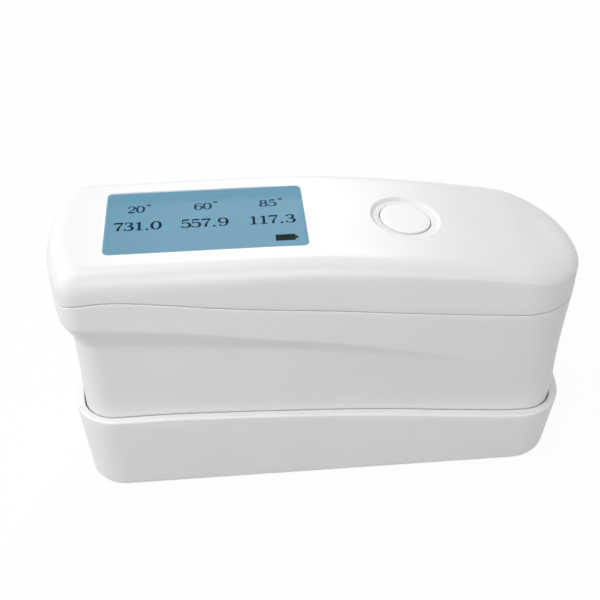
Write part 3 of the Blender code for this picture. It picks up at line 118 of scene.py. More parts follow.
WINDOW_REAR_MARGIN = 17.85 * MM
WINDOW_NOSE_MARGIN = 84.45 * MM
WINDOW_LENGTH = LENGTH - WINDOW_REAR_MARGIN - WINDOW_NOSE_MARGIN
WINDOW_X = -LENGTH / 2 + WINDOW_REAR_MARGIN + WINDOW_LENGTH / 2
WINDOW_WIDTH = WIDTH - 18.9 * MM
WINDOW_CORNER = 1.6 * MM
WINDOW_GAP = 0.25 * MM
WINDOW_EDGE = 0.22 * MM
WINDOW_TOP_Z = HEIGHT - 0.52 * MM
WINDOW_THICK = 1.8 * MM
PANE_GROW = 0.17 * MM
PANE_EDGE = 0.12 * MM

# Button and its dish; heights along the button's axis, from the cover's face

BUTTON_X = LENGTH / 2 - 53.95 * MM
BUTTON_RADIUS = 7.65 * MM
BUTTON_DROP = 0.5 * MM
BUTTON_EDGE = 0.28 * MM
BUTTON_FLANGE = 1.3 * MM
BUTTON_FLANGE_TOP = -2.45 * MM
BUTTON_FLANGE_THICK = 0.9 * MM
BUTTON_STEM_RADIUS = 2.0 * MM
BUTTON_STEM_END = -3.96 * MM
DISH_TOP = 0.1 * MM
DISH_REACH = 11.0 * MM
DISH_FLARE = 0.8 * MM
DISH_FOOT_RADIUS = 9.6 * MM
DISH_DEPTH = 0.9 * MM
DISH_HOLLOW = 0.1
DISH_EDGE = 0.08 * MM
SLOPE_STEP = 0.5 * MM

# Screw pillars, bosses, holes and sockets

BOARD_Z = HEIGHT - 12.32 * MM
BOARD_TOP_Z = BOARD_Z + 1.6 * MM
OVER_BOARD_Z = BOARD_TOP_Z + GAP
REAR_PILLAR_X = -LENGTH / 2 + 11.7 * MM
NOSE_PILLAR_X = LENGTH / 2 - 13.5 * MM
PILLAR_Y = WIDTH / 2 - 13.0 * MM
PILLAR_RADIUS = 3.1 * MM
PILLAR_SUNK = 1.5 * MM
REAR_PILLAR_Z = BOARD_Z - GAP
NOSE_PILLAR_Z = HEIGHT - 27.92 * MM
COUNTERBORE = 2.2 * MM
BORE = 1.3 * MM
SCREW_SHOULDER = 5.0 * MM
BORE_OVERLAP = 0.5 * MM
CASE_SCREW_PILOT = 6.5 * MM
BOARD_SCREW_X = LENGTH / 2 - 42.4 * MM
BOARD_SCREW_Y = WIDTH / 2 - 12.4 * MM
BOARD_BOSS_RADIUS = 2.4 * MM
BOARD_SCREW_PILOT = 3.2 * MM
PLATE_CORNER = 3.0 * MM
PLATE_SCREW_X = 53.0 * MM
PLATE_SCREW_Y = 8.5 * MM
FLOOR_OPEN_LENGTH = 96.0 * MM
FLOOR_OPEN_WIDTH = 11.0 * MM
FLOOR_OPEN_CORNER = 2.0 * MM
NOTCH_LOW = (-LENGTH / 2 + 1.9 * MM, -7.2 * MM, BOARD_Z - 1.0 * MM)
NOTCH_HIGH = (-LENGTH / 2 + 8.4 * MM, 7.2 * MM, BOARD_Z + 6.0 * MM)
USB_WIDTH = 8.9 * MM
USB_HEIGHT = 3.2 * MM
USB_OUT = 2.0 * MM
USB_IN = 4.0 * MM

# How far a cutter reaches past what it cuts

CUT = 1.0 * MM
WIDE_CUT = 3.0 * MM
DEEP_CUT = 6.0 * MM

# Rows and points of the meshes

END_STEPS = 14
CORNER_STEPS = 14
SIDE_STEPS = 64
FOOT_CAP_ROWS = 6
BAND_ROWS = 25
FILLET_ROWS = 13
TOP_CAP_ROWS = 12
DISH_STEPS = 14
BUTTON_STEPS = 8
TURN_STEPS = 128
DRILL_STEPS = 48
EDGE_STEPS = 4
SOLVE_ROUNDS = 4

# Limits that keep small outlines sound

ARC_OVER_CORNER = 0.5 * MM
ARC_OVER_HALF = 0.1 * MM
SMALLEST_CORNER = 0.8 * MM
SMALLEST_RUN = 1e-10
MERGE = 4e-6
SLIVER = 2e-6


# Curves given by stations: place as a share of the half length, height as a share of the scale

def smooth_curve(scale, stations):
    xs = [p[0] * LENGTH / 2 for p in stations]
    ys = [p[1] * scale for p in stations]
    n = len(xs)
    secants = [(ys[i + 1] - ys[i]) / (xs[i + 1] - xs[i]) for i in range(n - 1)]
    slopes = [secants[0]]
    for a, b in zip(secants, secants[1:]):
        slopes.append(0.0 if a * b <= 0.0 else 2.0 * a * b / (a + b))
    slopes.append(secants[-1])

    def value(x):
        if x <= xs[0]:
            return ys[0]
        if x >= xs[-1]:
            return ys[-1]
        i = 0
        while x > xs[i + 1]:
            i += 1
        h = xs[i + 1] - xs[i]
        t = (x - xs[i]) / h
        t2 = t * t
        t3 = t2 * t
        part = (2 * t3 - 3 * t2 + 1) * ys[i] + (t3 - 2 * t2 + t) * h * slopes[i]
        return part + (-2 * t3 + 3 * t2) * ys[i + 1] + (t3 - t2) * h * slopes[i + 1]

    return value


# Height of the base's rim
rim_z = smooth_curve(HEIGHT, [
    (-1, 0.3470), (-0.8625, 0.3536), (-0.65, 0.3559), (-0.375, 0.3481), (-0.1, 0.3347),
    (0.05625, 0.3258), (0.275, 0.3092), (0.5875, 0.2769), (0.7875, 0.2613), (1, 0.2591)])
# Falls below the highest point: the cover's top line, and the parting line of cover and lower case
top_drop = smooth_curve(MM, [
    (-0.5625, 0), (-0.2375, 0.05), (-0.05, 0.3), (0.00875, 0.6), (0.15875, 1.75),
    (0.42125, 4.3), (0.73375, 8.8), (0.88375, 12.1), (0.97125, 13.7), (1.00625, 14.6)])
seam_drop = smooth_curve(MM, [
    (-1, 12.42), (-0.95, 12.12), (-0.8875, 10.72), (-0.775, 10.12), (-0.58125, 11.72),
    (-0.40875, 13.82), (-0.20625, 15.72), (0.045, 17.62), (0.24875, 19.52), (0.5325, 21.92),
    (0.7125, 23.22), (1, 24.92)])
# Fall of the cover's shoulder rounding, and the share of the wider rounding at the nose
fillet_drop = smooth_curve(MM, [
    (-1, 7.4), (-0.8125, 7.6), (-0.6375, 7.5), (-0.475, 7.0), (-0.3125, 6.7), (-0.1, 6.1),
    (0.0875, 5.5), (0.25, 4.7), (0.4375, 4.0), (0.65, 3.0), (0.825, 2.6), (1, 3.5)])
nose_share = smooth_curve(1.0, [(-1, 0), (0.2, 0), (0.4375, 0.25), (0.65, 0.6), (0.825, 0.9), (1, 1)])
# Upper and lower edge of the band under the proud zone
step_top_drop = smooth_curve(MM, [
    (-1, 18.52), (-0.8125, 19.62), (-0.6125, 21.22), (-0.425, 23.32), (-0.2125, 26.22),
    (0.05, 29.82), (0.3375, 35.32), (0.525, 39.32), (0.65, 41.72), (1, 42.92)])
step_low_drop = smooth_curve(MM, [
    (-1, 27.52), (-0.9, 27.86), (-0.75, 28.55), (-0.5625, 29.62), (-0.35, 30.95), (-0.1375, 32.8),
    (0.0625, 35.25), (0.2625, 38.25), (0.425, 41.0), (0.5875, 43.74), (1, 45.42)])


def seam_z(x):
    return HEIGHT - seam_drop(x)


def step_top_z(x):
    return HEIGHT - step_top_drop(x)


def step_low_z(x):
    return HEIGHT - step_low_drop(x)


def top_z(x, y=0.0):
    return HEIGHT - top_drop(x) - COVER_CROWN * (2.0 * y / WIDTH) ** 2


# Plan outlines

def end_points(reach, half, corner, arc):
    """Nose end of a half outline: the corner, then the wide end arc up to the long middle line."""
    arc = max(arc, corner + ARC_OVER_CORNER, half + ARC_OVER_HALF)
    arc_x = reach - arc
    rise = half - corner
    run = math.sqrt(max((arc - corner) ** 2 - rise ** 2, SMALLEST_RUN))
    turn = math.atan2(rise, run)
    pts = []
    for i in range(CORNER_STEPS + 1):
        t = -math.pi / 2 + (math.pi / 2 - turn) * i / CORNER_STEPS
        pts.append((arc_x + run + corner * math.cos(t), -rise + corner * math.sin(t)))
    for i in range(1, END_STEPS + 1):
        t = -turn + turn * i / END_STEPS
        pts.append((arc_x + arc * math.cos(t), arc * math.sin(t)))
    pts[-1] = (reach, 0.0)
    return pts


class Plan:
    """Half outline: rear end arc, rear corner, straight side, nose corner, nose end arc."""

    def __init__(self, rear, nose, half_width, rear_corner, rear_arc, nose_corner, nose_arc, shift=0.0):
        self.values = [rear, nose, half_width, rear_corner, rear_arc, nose_corner, nose_arc]
        self.shift = shift

    def inset(self, e, rear_e=None):
        rear, nose, half, rc, ra, nc, na = self.values
        rc = max(rc - e, SMALLEST_CORNER)
        nc = max(nc - e, SMALLEST_CORNER)
        back = e if rear_e is None else rear_e
        return Plan(rear - back, nose - e, half - e, rc, ra - e, nc, na - e, self.shift)

    def points(self):
        rear, nose, half, rc, ra, nc, na = self.values
        left = [(-x, y) for x, y in end_points(rear, half, rc, ra)]
        left.reverse()
        right = end_points(nose, half, nc, na)
        x0 = left[-1][0]
        x1 = right[0][0]
        side = [(x0 + (x1 - x0) * i / SIDE_STEPS, -half) for i in range(1, SIDE_STEPS)]
        return [(x + self.shift, y) for x, y in left + side + right]


def even_plan(size, arc):
    length, width, rear_corner, nose_corner = size
    return Plan(length / 2, length / 2, width / 2, rear_corner, arc, nose_corner, arc, BASE_SHIFT)


base_low = even_plan(BASE_BOTTOM, BASE_END_ARC)
base_rim = even_plan(BASE_RIM, BASE_END_ARC)
case_low = even_plan(CASE_BOTTOM, CASE_END_ARC)
case_waist = even_plan(CASE_WAIST, CASE_END_ARC)
step_plan = Plan(STEP_REAR, STEP_NOSE, STEP_WIDTH / 2, STEP_REAR_CORNER, COVER_REAR_ARC,
                 STEP_NOSE_CORNER, STEP_NOSE_ARC)
cover_plan = Plan(LENGTH / 2, LENGTH / 2, WIDTH / 2, COVER_REAR_CORNER, COVER_REAR_ARC,
                  COVER_NOSE_CORNER, COVER_NOSE_ARC)


# Rows of points along a plan outline

def flat(z):
    return lambda x, y: z


def ring(plan, height):
    return [(x, y, height(x, y) if callable(height) else height) for x, y in plan.points()]


def follow(plan, row, offset):
    return [(x, y, p[2] + offset) for (x, y), p in zip(plan.points(), row)]


def blend(row_a, row_b, w):
    return [tuple(a[k] + (b[k] - a[k]) * w for k in range(3)) for a, b in zip(row_a, row_b)]


def rows_between(row_a, row_b, count):
    return [blend(row_a, row_b, i / count) for i in range(1, count)]


def cap_rows(row, height, count):
    """Rows from near an outline in to the long middle line."""
    rows = []
    for j in range(1, count + 1):
        s = 1.0 - j / count
        rows.append([(x, y * s, height(x, y * s)) for x, y, z in row])
    return rows


def arc_angles(count, start, stop):
    return [math.radians(start + (stop - start) * i / (count - 1)) for i in range(count)]


def rounded_foot(plan, soft, z, count):
    """Rows from the middle of a flat underside out to its edge and up round its rounding."""
    rows = list(reversed(cap_rows(ring(plan.inset(soft), z), flat(z), FOOT_CAP_ROWS)))
    for a in arc_angles(count, 0.0, 90.0):
        rows.append(ring(plan.inset(soft * (1 - math.sin(a))), z + soft * (1 - math.cos(a))))
    return rows


def between_plans(plan_a, z_a, plan_b, z_b, height):
    """Row at a height, on the straight wall between two outlines."""
    row = []
    for a, b in zip(ring(plan_a, z_a), ring(plan_b, z_b)):
        x = a[0]
        for _ in range(SOLVE_ROUNDS):
            z = height(x, a[1])
            w = (z - z_a) / (z_b - z_a)
            x = a[0] + (b[0] - a[0]) * w
        row.append((x, a[1] + (b[1] - a[1]) * w, z))
    return row


SEAM_ROW = ring(cover_plan, lambda x, y: seam_z(x))


# Mesh helpers

def new_object(name, mesh):
    obj = bpy.data.objects.new(name, mesh)
    bpy.context.scene.collection.objects.link(obj)
    return obj


def mesh_from(name, bm):
    bmesh.ops.recalc_face_normals(bm, faces=bm.faces)
    mesh = bpy.data.meshes.new(name)
    bm.to_mesh(mesh)
    bm.free()
    return mesh


def loft(name, rows):
    """Skin of rows with equal counts, mirrored over the long middle plane."""
    bm = bmesh.new()
    grid = [[bm.verts.new(p) for p in row] for row in rows]
    for a, b in zip(grid, grid[1:]):
        for i in range(len(a) - 1):
            bm.faces.new((a[i], a[i + 1], b[i + 1], b[i]))
    other = bmesh.ops.duplicate(bm, geom=bm.verts[:] + bm.edges[:] + bm.faces[:])["geom"]
    verts = [v for v in other if isinstance(v, bmesh.types.BMVert)]
    bmesh.ops.scale(bm, vec=(1.0, -1.0, 1.0), verts=verts)
    bmesh.ops.remove_doubles(bm, verts=bm.verts, dist=MERGE)
    bmesh.ops.dissolve_degenerate(bm, edges=bm.edges, dist=SLIVER)
    return new_object(name, mesh_from(name, bm))


def cylinder(name, radius, start, end):
    start = Vector(start)
    end = Vector(end)
    axis = end - start
    bm = bmesh.new()
    bmesh.ops.create_cone(bm, cap_ends=True, segments=DRILL_STEPS, radius1=radius, radius2=radius,
                          depth=axis.length)
    place = Matrix.Translation((start + end) / 2) @ axis.to_track_quat("Z", "Y").to_matrix().to_4x4()
    bm.transform(place)
    return new_object(name, mesh_from(name, bm))


def box(name, low, high):
    bm = bmesh.new()
    bmesh.ops.create_cube(bm, size=1.0)
    for v in bm.verts:
        v.co = Vector([l + (h - l) * (c + 0.5) for l, h, c in zip(low, high, v.co)])
    return new_object(name, mesh_from(name, bm))


def turned(name, profile, place):
    """Solid of revolution; the profile runs from end to end with its ends on the axis."""
    bm = bmesh.new()
    rings = []
    for r, z in profile:
        if r == 0.0:
            rings.append([bm.verts.new((0.0, 0.0, z))])
            continue
        angles = [2 * math.pi * i / TURN_STEPS for i in range(TURN_STEPS)]
        rings.append([bm.verts.new((r * math.cos(a), r * math.sin(a), z)) for a in angles])
    for a, b in zip(rings, rings[1:]):
        for i in range(TURN_STEPS):
            j = (i + 1) % TURN_STEPS
            if len(a) == 1:
                bm.faces.new((a[0], b[i], b[j]))
            elif len(b) == 1:
                bm.faces.new((a[i], a[j], b[0]))
            else:
                bm.faces.new((a[i], a[j], b[j], b[i]))
    bm.transform(place)
    return new_object(name, mesh_from(name, bm))


def rounded_rectangle(length, width, corner, steps=10, centre=(0.0, 0.0)):
    pts = []
    for sx, sy, start in ((1, 1, 0), (-1, 1, 90), (-1, -1, 180), (1, -1, 270)):
        cx = centre[0] + sx * (length / 2 - corner)
        cy = centre[1] + sy * (width / 2 - corner)
        for i in range(steps + 1):
            a = math.radians(start + 90.0 * i / steps)
            pts.append((cx + corner * math.cos(a), cy + corner * math.sin(a)))
    return pts


def stacked(name, layers):
    """Solid through closed outlines given as (points, z) from bottom to top."""
    bm = bmesh.new()
    rings = [[bm.verts.new((x, y, z)) for x, y in pts] for pts, z in layers]
    for a, b in zip(rings, rings[1:]):
        n = len(a)
        for i in range(n):
            bm.faces.new((a[i], a[(i + 1) % n], b[(i + 1) % n], b[i]))
    bm.faces.new(list(reversed(rings[0])))
    bm.faces.new(rings[-1])
    return new_object(name, mesh_from(name, bm))


def combine(obj, tool, operation="DIFFERENCE"):
    mod = obj.modifiers.new("combine", "BOOLEAN")
    mod.operation = operation
    mod.solver = "EXACT"
    mod.object = tool
    graph = bpy.context.evaluated_depsgraph_get()
    mesh = bpy.data.meshes.new_from_object(obj.evaluated_get(graph))
    obj.modifiers.clear()
    obj.data = mesh
    bpy.data.objects.remove(tool, do_unlink=True)


def smooth(obj, angle=30.0):
    obj.data.shade_smooth()
    obj.data.set_sharp_from_angle(angle=math.radians(angle))
    return obj


def dress(obj, mats, body, slot, *replaced):
    for mat in mats:
        obj.data.materials.append(mat)
    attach(obj, body)
    if replaced:
        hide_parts(*replaced)


# Material helpers

def nodes_of(name):
    mat = bpy.data.materials.new(name)
    mat.use_nodes = True
    tree = mat.node_tree
    return mat, tree, tree.nodes["Principled BSDF"]


def link(tree, a, b):
    tree.links.new(a, b)


def coordinates(tree, scale=(1.0, 1.0, 1.0)):
    tex = tree.nodes.new("ShaderNodeTexCoord")
    if scale == (1.0, 1.0, 1.0):
        return tex.outputs["Object"]
    mapping = tree.nodes.new("ShaderNodeMapping")
    mapping.inputs["Scale"].default_value = scale
    link(tree, tex.outputs["Object"], mapping.inputs["Vector"])
    return mapping.outputs["Vector"]


def noise(tree, vector, scale, detail=2.0, rough=0.5):
    node = tree.nodes.new("ShaderNodeTexNoise")
    node.inputs["Scale"].default_value = scale
    node.inputs["Detail"].default_value = detail
    node.inputs["Roughness"].default_value = rough
    link(tree, vector, node.inputs["Vector"])
    return node.outputs["Fac"]


def ramp(tree, value, low, high, out_low=0.0, out_high=1.0):
    node = tree.nodes.new("ShaderNodeMapRange")
    node.inputs["From Min"].default_value = low
    node.inputs["From Max"].default_value = high
    node.inputs["To Min"].default_value = out_low
    node.inputs["To Max"].default_value = out_high
    link(tree, value, node.inputs["Value"])
    return node.outputs["Result"]


def mix(tree, factor, a, b):
    """Colour from a to b; each is a colour or the socket that gives one."""
    node = tree.nodes.new("ShaderNodeMix")
    node.data_type = "RGBA"
    link(tree, factor, node.inputs["Factor"])
    for socket, value in ((node.inputs[6], a), (node.inputs[7], b)):
        if isinstance(value, tuple):
            socket.default_value = (*value, 1.0)
        else:
            link(tree, value, socket)
    return node.outputs[2]


def bump(tree, height, strength, distance, shader, normal=None):
    node = tree.nodes.new("ShaderNodeBump")
    node.inputs["Strength"].default_value = strength
    node.inputs["Distance"].default_value = distance
    link(tree, height, node.inputs["Height"])
    if normal is not None:
        link(tree, normal, node.inputs["Normal"])
    link(tree, node.outputs["Normal"], shader.inputs["Normal"])
    return node.outputs["Normal"]


def srgb(r, g, b):
    out = []
    for c in (r, g, b):
        c = c / 255.0
        out.append(c / 12.92 if c <= 0.04045 else ((c + 0.055) / 1.055) ** 2.4)
    return tuple(out)


# Materials

def moulded(name, light, dark, rough=0.36, spread=0.06, grain=7000.0, depth=0.000006):
    """Moulded plastic: faint flow mottling, a fine tooled grain and slightly uneven gloss."""
    mat, tree, shader = nodes_of(name)
    at = coordinates(tree)
    cloud = noise(tree, at, 38.0, 3.0, 0.55)
    streak = noise(tree, coordinates(tree, (14.0, 60.0, 60.0)), 1.0, 2.0, 0.5)
    fine = noise(tree, at, grain, 2.0, 0.6)
    base = mix(tree, ramp(tree, cloud, 0.3, 0.7), dark, light)
    base = mix(tree, ramp(tree, fine, 0.35, 0.75, 0.0, 0.12), base, dark)
    link(tree, base, shader.inputs["Base Color"])
    link(tree, ramp(tree, streak, 0.3, 0.7, rough - spread / 2, rough + spread / 2),
         shader.inputs["Roughness"])
    first = bump(tree, cloud, 0.25, 0.00002, shader)
    bump(tree, fine, 0.5, depth, shader, first)
    shader.inputs["IOR"].default_value = 1.48
    return mat


def metal(name, light, dark, rough, spread, scale, depth=0.000008, metallic=1.0):
    """Metal with an uneven, finely grained surface."""
    mat, tree, shader = nodes_of(name)
    grain = noise(tree, coordinates(tree), scale, 4.0, 0.65)
    link(tree, mix(tree, ramp(tree, grain, 0.3, 0.7), dark, light), shader.inputs["Base Color"])
    link(tree, ramp(tree, grain, 0.3, 0.7, rough - spread, rough + spread), shader.inputs["Roughness"])
    shader.inputs["Metallic"].default_value = metallic
    bump(tree, grain, 0.4, depth, shader)
    return mat


def board_material():
    """Solder mask over tracks, with pads."""
    mat, tree, shader = nodes_of("board_green")
    at = coordinates(tree)
    brick = tree.nodes.new("ShaderNodeTexBrick")
    brick.inputs["Scale"].default_value = 260.0
    brick.inputs["Mortar Size"].default_value = 0.05
    brick.inputs["Color1"].default_value = (0.012, 0.12, 0.05, 1.0)
    brick.inputs["Color2"].default_value = (0.016, 0.15, 0.06, 1.0)
    brick.inputs["Mortar"].default_value = (0.03, 0.21, 0.09, 1.0)
    link(tree, at, brick.inputs["Vector"])
    grain = noise(tree, at, 2500.0)
    colour = mix(tree, ramp(tree, grain, 0.3, 0.8, 0.0, 0.25), brick.outputs["Color"], (0.008, 0.09, 0.04))
    link(tree, colour, shader.inputs["Base Color"])
    link(tree, ramp(tree, grain, 0.3, 0.7, 0.34, 0.46), shader.inputs["Roughness"])
    bump(tree, brick.outputs["Fac"], 0.5, 0.00003, shader)
    return mat


def lens_material():
    """Clear lens with a trace of haze."""
    mat, tree, shader = nodes_of("lens_glass")
    haze = noise(tree, coordinates(tree), 500.0)
    link(tree, mix(tree, haze, (0.9, 0.93, 0.94), (0.82, 0.87, 0.9)), shader.inputs["Base Color"])
    link(tree, ramp(tree, haze, 0.3, 0.7, 0.02, 0.06), shader.inputs["Roughness"])
    shader.inputs["Alpha"].default_value = 0.45
    return mat


def black_glass_material():
    """Polished black glass of the calibration tile."""
    mat, tree, shader = nodes_of("black_glass")
    haze = noise(tree, coordinates(tree), 60.0, 3.0)
    link(tree, mix(tree, haze, (0.012, 0.012, 0.014), (0.007, 0.007, 0.008)), shader.inputs["Base Color"])
    link(tree, ramp(tree, haze, 0.3, 0.7, 0.03, 0.08), shader.inputs["Roughness"])
    shader.inputs["Coat Weight"].default_value = 0.5
    return mat


LCD_LIGHT = srgb(28, 44, 52)
LCD_DARK = srgb(26, 41, 49)
LCD_GLOW = srgb(119, 170, 196)
LCD_GLOW_DARK = srgb(115, 165, 191)
LCD_CELL = 0.36


def lcd_material(name, cells=True, strength=1.0):
    """Backlit field of the display with the faint grid of its cells, in millimetres; without cells, the
    painted glow given to the window pane's sides.
    """
    mat, tree, shader = nodes_of(name)
    at = coordinates(tree)
    cloud = noise(tree, at, 26.0, 2.0, 0.5)
    colour = mix(tree, ramp(tree, cloud, 0.3, 0.7), LCD_DARK, LCD_LIGHT)
    glow = mix(tree, ramp(tree, cloud, 0.3, 0.7, 0.0, 0.4), LCD_GLOW, LCD_GLOW_DARK)
    if cells:
        brick = tree.nodes.new("ShaderNodeTexBrick")
        brick.offset = 0.0
        brick.inputs["Scale"].default_value = 1000.0
        brick.inputs["Brick Width"].default_value = LCD_CELL
        brick.inputs["Row Height"].default_value = LCD_CELL
        brick.inputs["Mortar Size"].default_value = 0.018
        link(tree, at, brick.inputs["Vector"])
        line = ramp(tree, brick.outputs["Fac"], 0.0, 1.0, 0.0, 0.35)
        colour = mix(tree, line, colour, LCD_DARK)
        glow = mix(tree, line, glow, LCD_GLOW_DARK)
    link(tree, colour, shader.inputs["Base Color"])
    link(tree, ramp(tree, cloud, 0.3, 0.7, 0.32, 0.4), shader.inputs["Roughness"])
    shader.inputs["Specular IOR Level"].default_value = 0.05
    link(tree, glow, shader.inputs["Emission Color"])
    shader.inputs["Emission Strength"].default_value = strength
    return mat


def ink_material(name, colour, pale):
    """Dark segments of the display."""
    mat, tree, shader = nodes_of(name)
    patch = noise(tree, coordinates(tree), 900.0, 2.0, 0.6)
    link(tree, mix(tree, ramp(tree, patch, 0.35, 0.7), colour, pale), shader.inputs["Base Color"])
    link(tree, ramp(tree, patch, 0.3, 0.7, 0.38, 0.5), shader.inputs["Roughness"])
    shader.inputs["Specular IOR Level"].default_value = 0.0
    return mat


def pane_material():
    """Clear window with an anti-reflection coat and faint wipe haze."""
    mat, tree, shader = nodes_of("window_clear")
    haze = noise(tree, coordinates(tree, (1.0, 3.0, 1.0)), 90.0, 4.0, 0.6)
    link(tree, mix(tree, haze, (0.02, 0.03, 0.04), (0.014, 0.022, 0.03)), shader.inputs["Base Color"])
    link(tree, ramp(tree, haze, 0.3, 0.7, 0.12, 0.2), shader.inputs["Roughness"])
    shader.inputs["Specular IOR Level"].default_value = 0.04
    shader.inputs["Alpha"].default_value = 0.1
    return mat


white = moulded("white_plastic", srgb(236, 236, 236), srgb(232, 232, 232))
white_base = moulded("white_base_plastic", srgb(239, 239, 239), srgb(235, 235, 235), 0.4)
key_white = moulded("key_plastic", srgb(241, 241, 241), srgb(238, 238, 238), 0.34, 0.05, 6000.0, 0.000004)
black = moulded("black_plastic", (0.022, 0.022, 0.024), (0.014, 0.014, 0.015), 0.5, 0.1, 4000.0, 0.00001)
frame_grey = moulded("frame_grey", (0.27, 0.28, 0.29), (0.23, 0.24, 0.25), 0.5, 0.08, 3000.0, 0.00001)
diffuser = moulded("diffuser_white", (0.8, 0.82, 0.84), (0.76, 0.78, 0.8), 0.5, 0.06, 3000.0, 0.000006)
wrap = moulded("battery_wrap", (0.05, 0.17, 0.44), (0.04, 0.14, 0.38), 0.33, 0.1, 1800.0, 0.00003)
steel = metal("steel", (0.6, 0.6, 0.61), (0.48, 0.48, 0.49), 0.32, 0.08, 900.0)
silver = metal("silver", (0.78, 0.79, 0.8), (0.68, 0.69, 0.7), 0.36, 0.08, 1100.0)
anodised = metal("black_anodised", (0.04, 0.04, 0.044), (0.024, 0.024, 0.027), 0.48, 0.07, 3500.0,
                 depth=0.00001, metallic=0.2)
green = board_material()
lens_glass = lens_material()
black_glass = black_glass_material()
lcd = lcd_material("lcd_blue")
# Painted glow in the field's colour for the window pane's glass sides, standing in for the backlit field
# seen through the glass edge
painted_side_glow = lcd_material("window_side_painted_glow", False, 0.9)
ink = ink_material("lcd_ink", srgb(3, 46, 68), srgb(7, 54, 78))
ink_pale = ink_material("lcd_ink_pale", srgb(30, 70, 94), srgb(40, 80, 104))
ink_black = ink_material("lcd_ink_black", srgb(20, 38, 35), srgb(26, 45, 41))
pane_clear = pane_material()

BY_SLOT = {
    "white_plastic": white, "key_plastic": key_white, "window_clear": pane_clear, "lcd_blue": lcd,
    "diffuser_white": diffuser, "black_glass": black_glass, "black_plastic": black, "steel": steel,
    "silver": silver, "black_anodised": anodised, "board_green": green, "battery_wrap": wrap,
    "frame_grey": frame_grey, "lens_glass": lens_glass,
}


def dress_solids():
    """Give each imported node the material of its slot."""
    for part in frame["record"]["subparts"]:
        node = frame["nodes"][part["node"]]
        node.data.materials.clear()
        node.data.materials.append(BY_SLOT[part["material_slot"]])


# Calibration base

def below_rim(drop):
    return lambda x, y: rim_z(x) - drop


def base_outer_rows():
    """Underside, wall and outer rounding of the rim."""
    rows = rounded_foot(base_low, BASE_FILLET, 0.0, 9)
    rows += rows_between(rows[-1], ring(base_rim, below_rim(BASE_RIM_SOFT)), 8)
    for a in arc_angles(7, 0.0, 90.0):
        rows.append(ring(base_rim.inset(BASE_RIM_SOFT * (1 - math.cos(a))),
                         below_rim(BASE_RIM_SOFT * (1 - math.sin(a)))))
    return rows


def base_inner_rows(rim_edge):
    """Rim face, inner rounding, and the wall and floor of the hollow that the meter stands in."""
    hole_low = case_low.inset(-CASE_CLEAR)
    hole_waist = case_waist.inset(-CASE_CLEAR)
    wide_low = hole_low.inset(-BASE_RIM_INNER_SOFT)
    wide_waist = hole_waist.inset(-BASE_RIM_INNER_SOFT)
    rows = [blend(rim_edge, between_plans(hole_low, CASE_Z, hole_waist, CASE_WAIST_Z, below_rim(0.0)), 0.5)]
    for a in arc_angles(5, 90.0, 0.0):
        height = below_rim(BASE_RIM_INNER_SOFT * (1 - math.sin(a)))
        edge = between_plans(hole_low, CASE_Z, hole_waist, CASE_WAIST_Z, height)
        wide = between_plans(wide_low, CASE_Z, wide_waist, CASE_WAIST_Z, height)
        rows.append(blend(edge, wide, 1 - math.cos(a)))
    hole_foot = ring(hole_low, CASE_Z + CASE_BOTTOM_SOFT)
    rows += rows_between(rows[-1], hole_foot, 6)
    rows.append(hole_foot)
    rows.append(ring(hole_low.inset(CASE_BOTTOM_SOFT), BASE_FLOOR_Z))
    return rows + cap_rows(rows[-1], flat(BASE_FLOOR_Z), 4)


def calibration_base():
    rows = base_outer_rows()
    base = loft("base_shell", rows + base_inner_rows(rows[-1]))
    low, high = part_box("calibration_tile")
    pocket = rounded_rectangle(high.x - low.x + 2 * GAP, high.y - low.y + 2 * GAP, TILE_CORNER + GAP)
    combine(base, stacked("tile_pocket", [(pocket, low.z - GAP), (pocket, BASE_FLOOR_Z + WIDE_CUT)]))
    return smooth(base)


# Lower case

def step_fade(x):
    t = min(max((STEP_END_X - x) / (STEP_END_X - STEP_FULL_X), 0.0), 1.0)
    return 1.0 - t ** STEP_FADE_POWER


def proud_wall(height, inset=0.0):
    """Row on the wall of the proud zone, from the waist out to the cover's outline."""
    a = ring(case_waist.inset(inset), CASE_WAIST_Z)
    b = ring(cover_plan.inset(inset), CASE_WAIST_Z)
    row = []
    for p, q in zip(a, b):
        x = q[0]
        for _ in range(SOLVE_ROUNDS):
            z = height(x, q[1])
            w = min(max((z - CASE_WAIST_Z) / (CASE_FULL_Z - CASE_WAIST_Z), 0.0), 1.0)
            x = p[0] + (q[0] - p[0]) * w
        row.append((x, p[1] + (q[1] - p[1]) * w, z))
    return row


def low_wall(height, inset=0.0):
    """Row on the narrower wall under the step, which fades into the proud wall at the nose."""
    a = ring(case_waist.inset(inset), CASE_WAIST_Z)
    b = ring(step_plan.inset(inset), CASE_WAIST_Z)
    row = []
    for p, q, u in zip(a, b, proud_wall(height, inset)):
        w = min(max((u[2] - CASE_WAIST_Z) / (step_low_z(u[0]) - CASE_WAIST_Z), 0.0), 1.0)
        x = p[0] + (q[0] - p[0]) * w
        y = p[1] + (q[1] - p[1]) * w
        f = step_fade(u[0])
        row.append((x + (u[0] - x) * f, y + (u[1] - y) * f, u[2]))
    return row


def soft_share(u, r):
    """Straight rise from 0 to 1 with rounded ends of half width r."""
    if u <= -r:
        return 0.0
    if u < r:
        return (u + r) ** 2 / (4 * r)
    if u <= 1 - r:
        return u
    if u < 1 + r:
        return 1 - (1 + r - u) ** 2 / (4 * r)
    return 1.0


def under_step(share):
    """Height at a share of the way from the waist up to the band."""
    return lambda x, y: CASE_WAIST_Z + (step_low_z(x) - STEP_SOFT - CASE_WAIST_Z) * share


def in_band(share):
    """Height at a share of the way up the band under the proud zone."""
    return lambda x, y: step_low_z(x) + (step_top_z(x) - STEP_SOFT - step_low_z(x)) * share


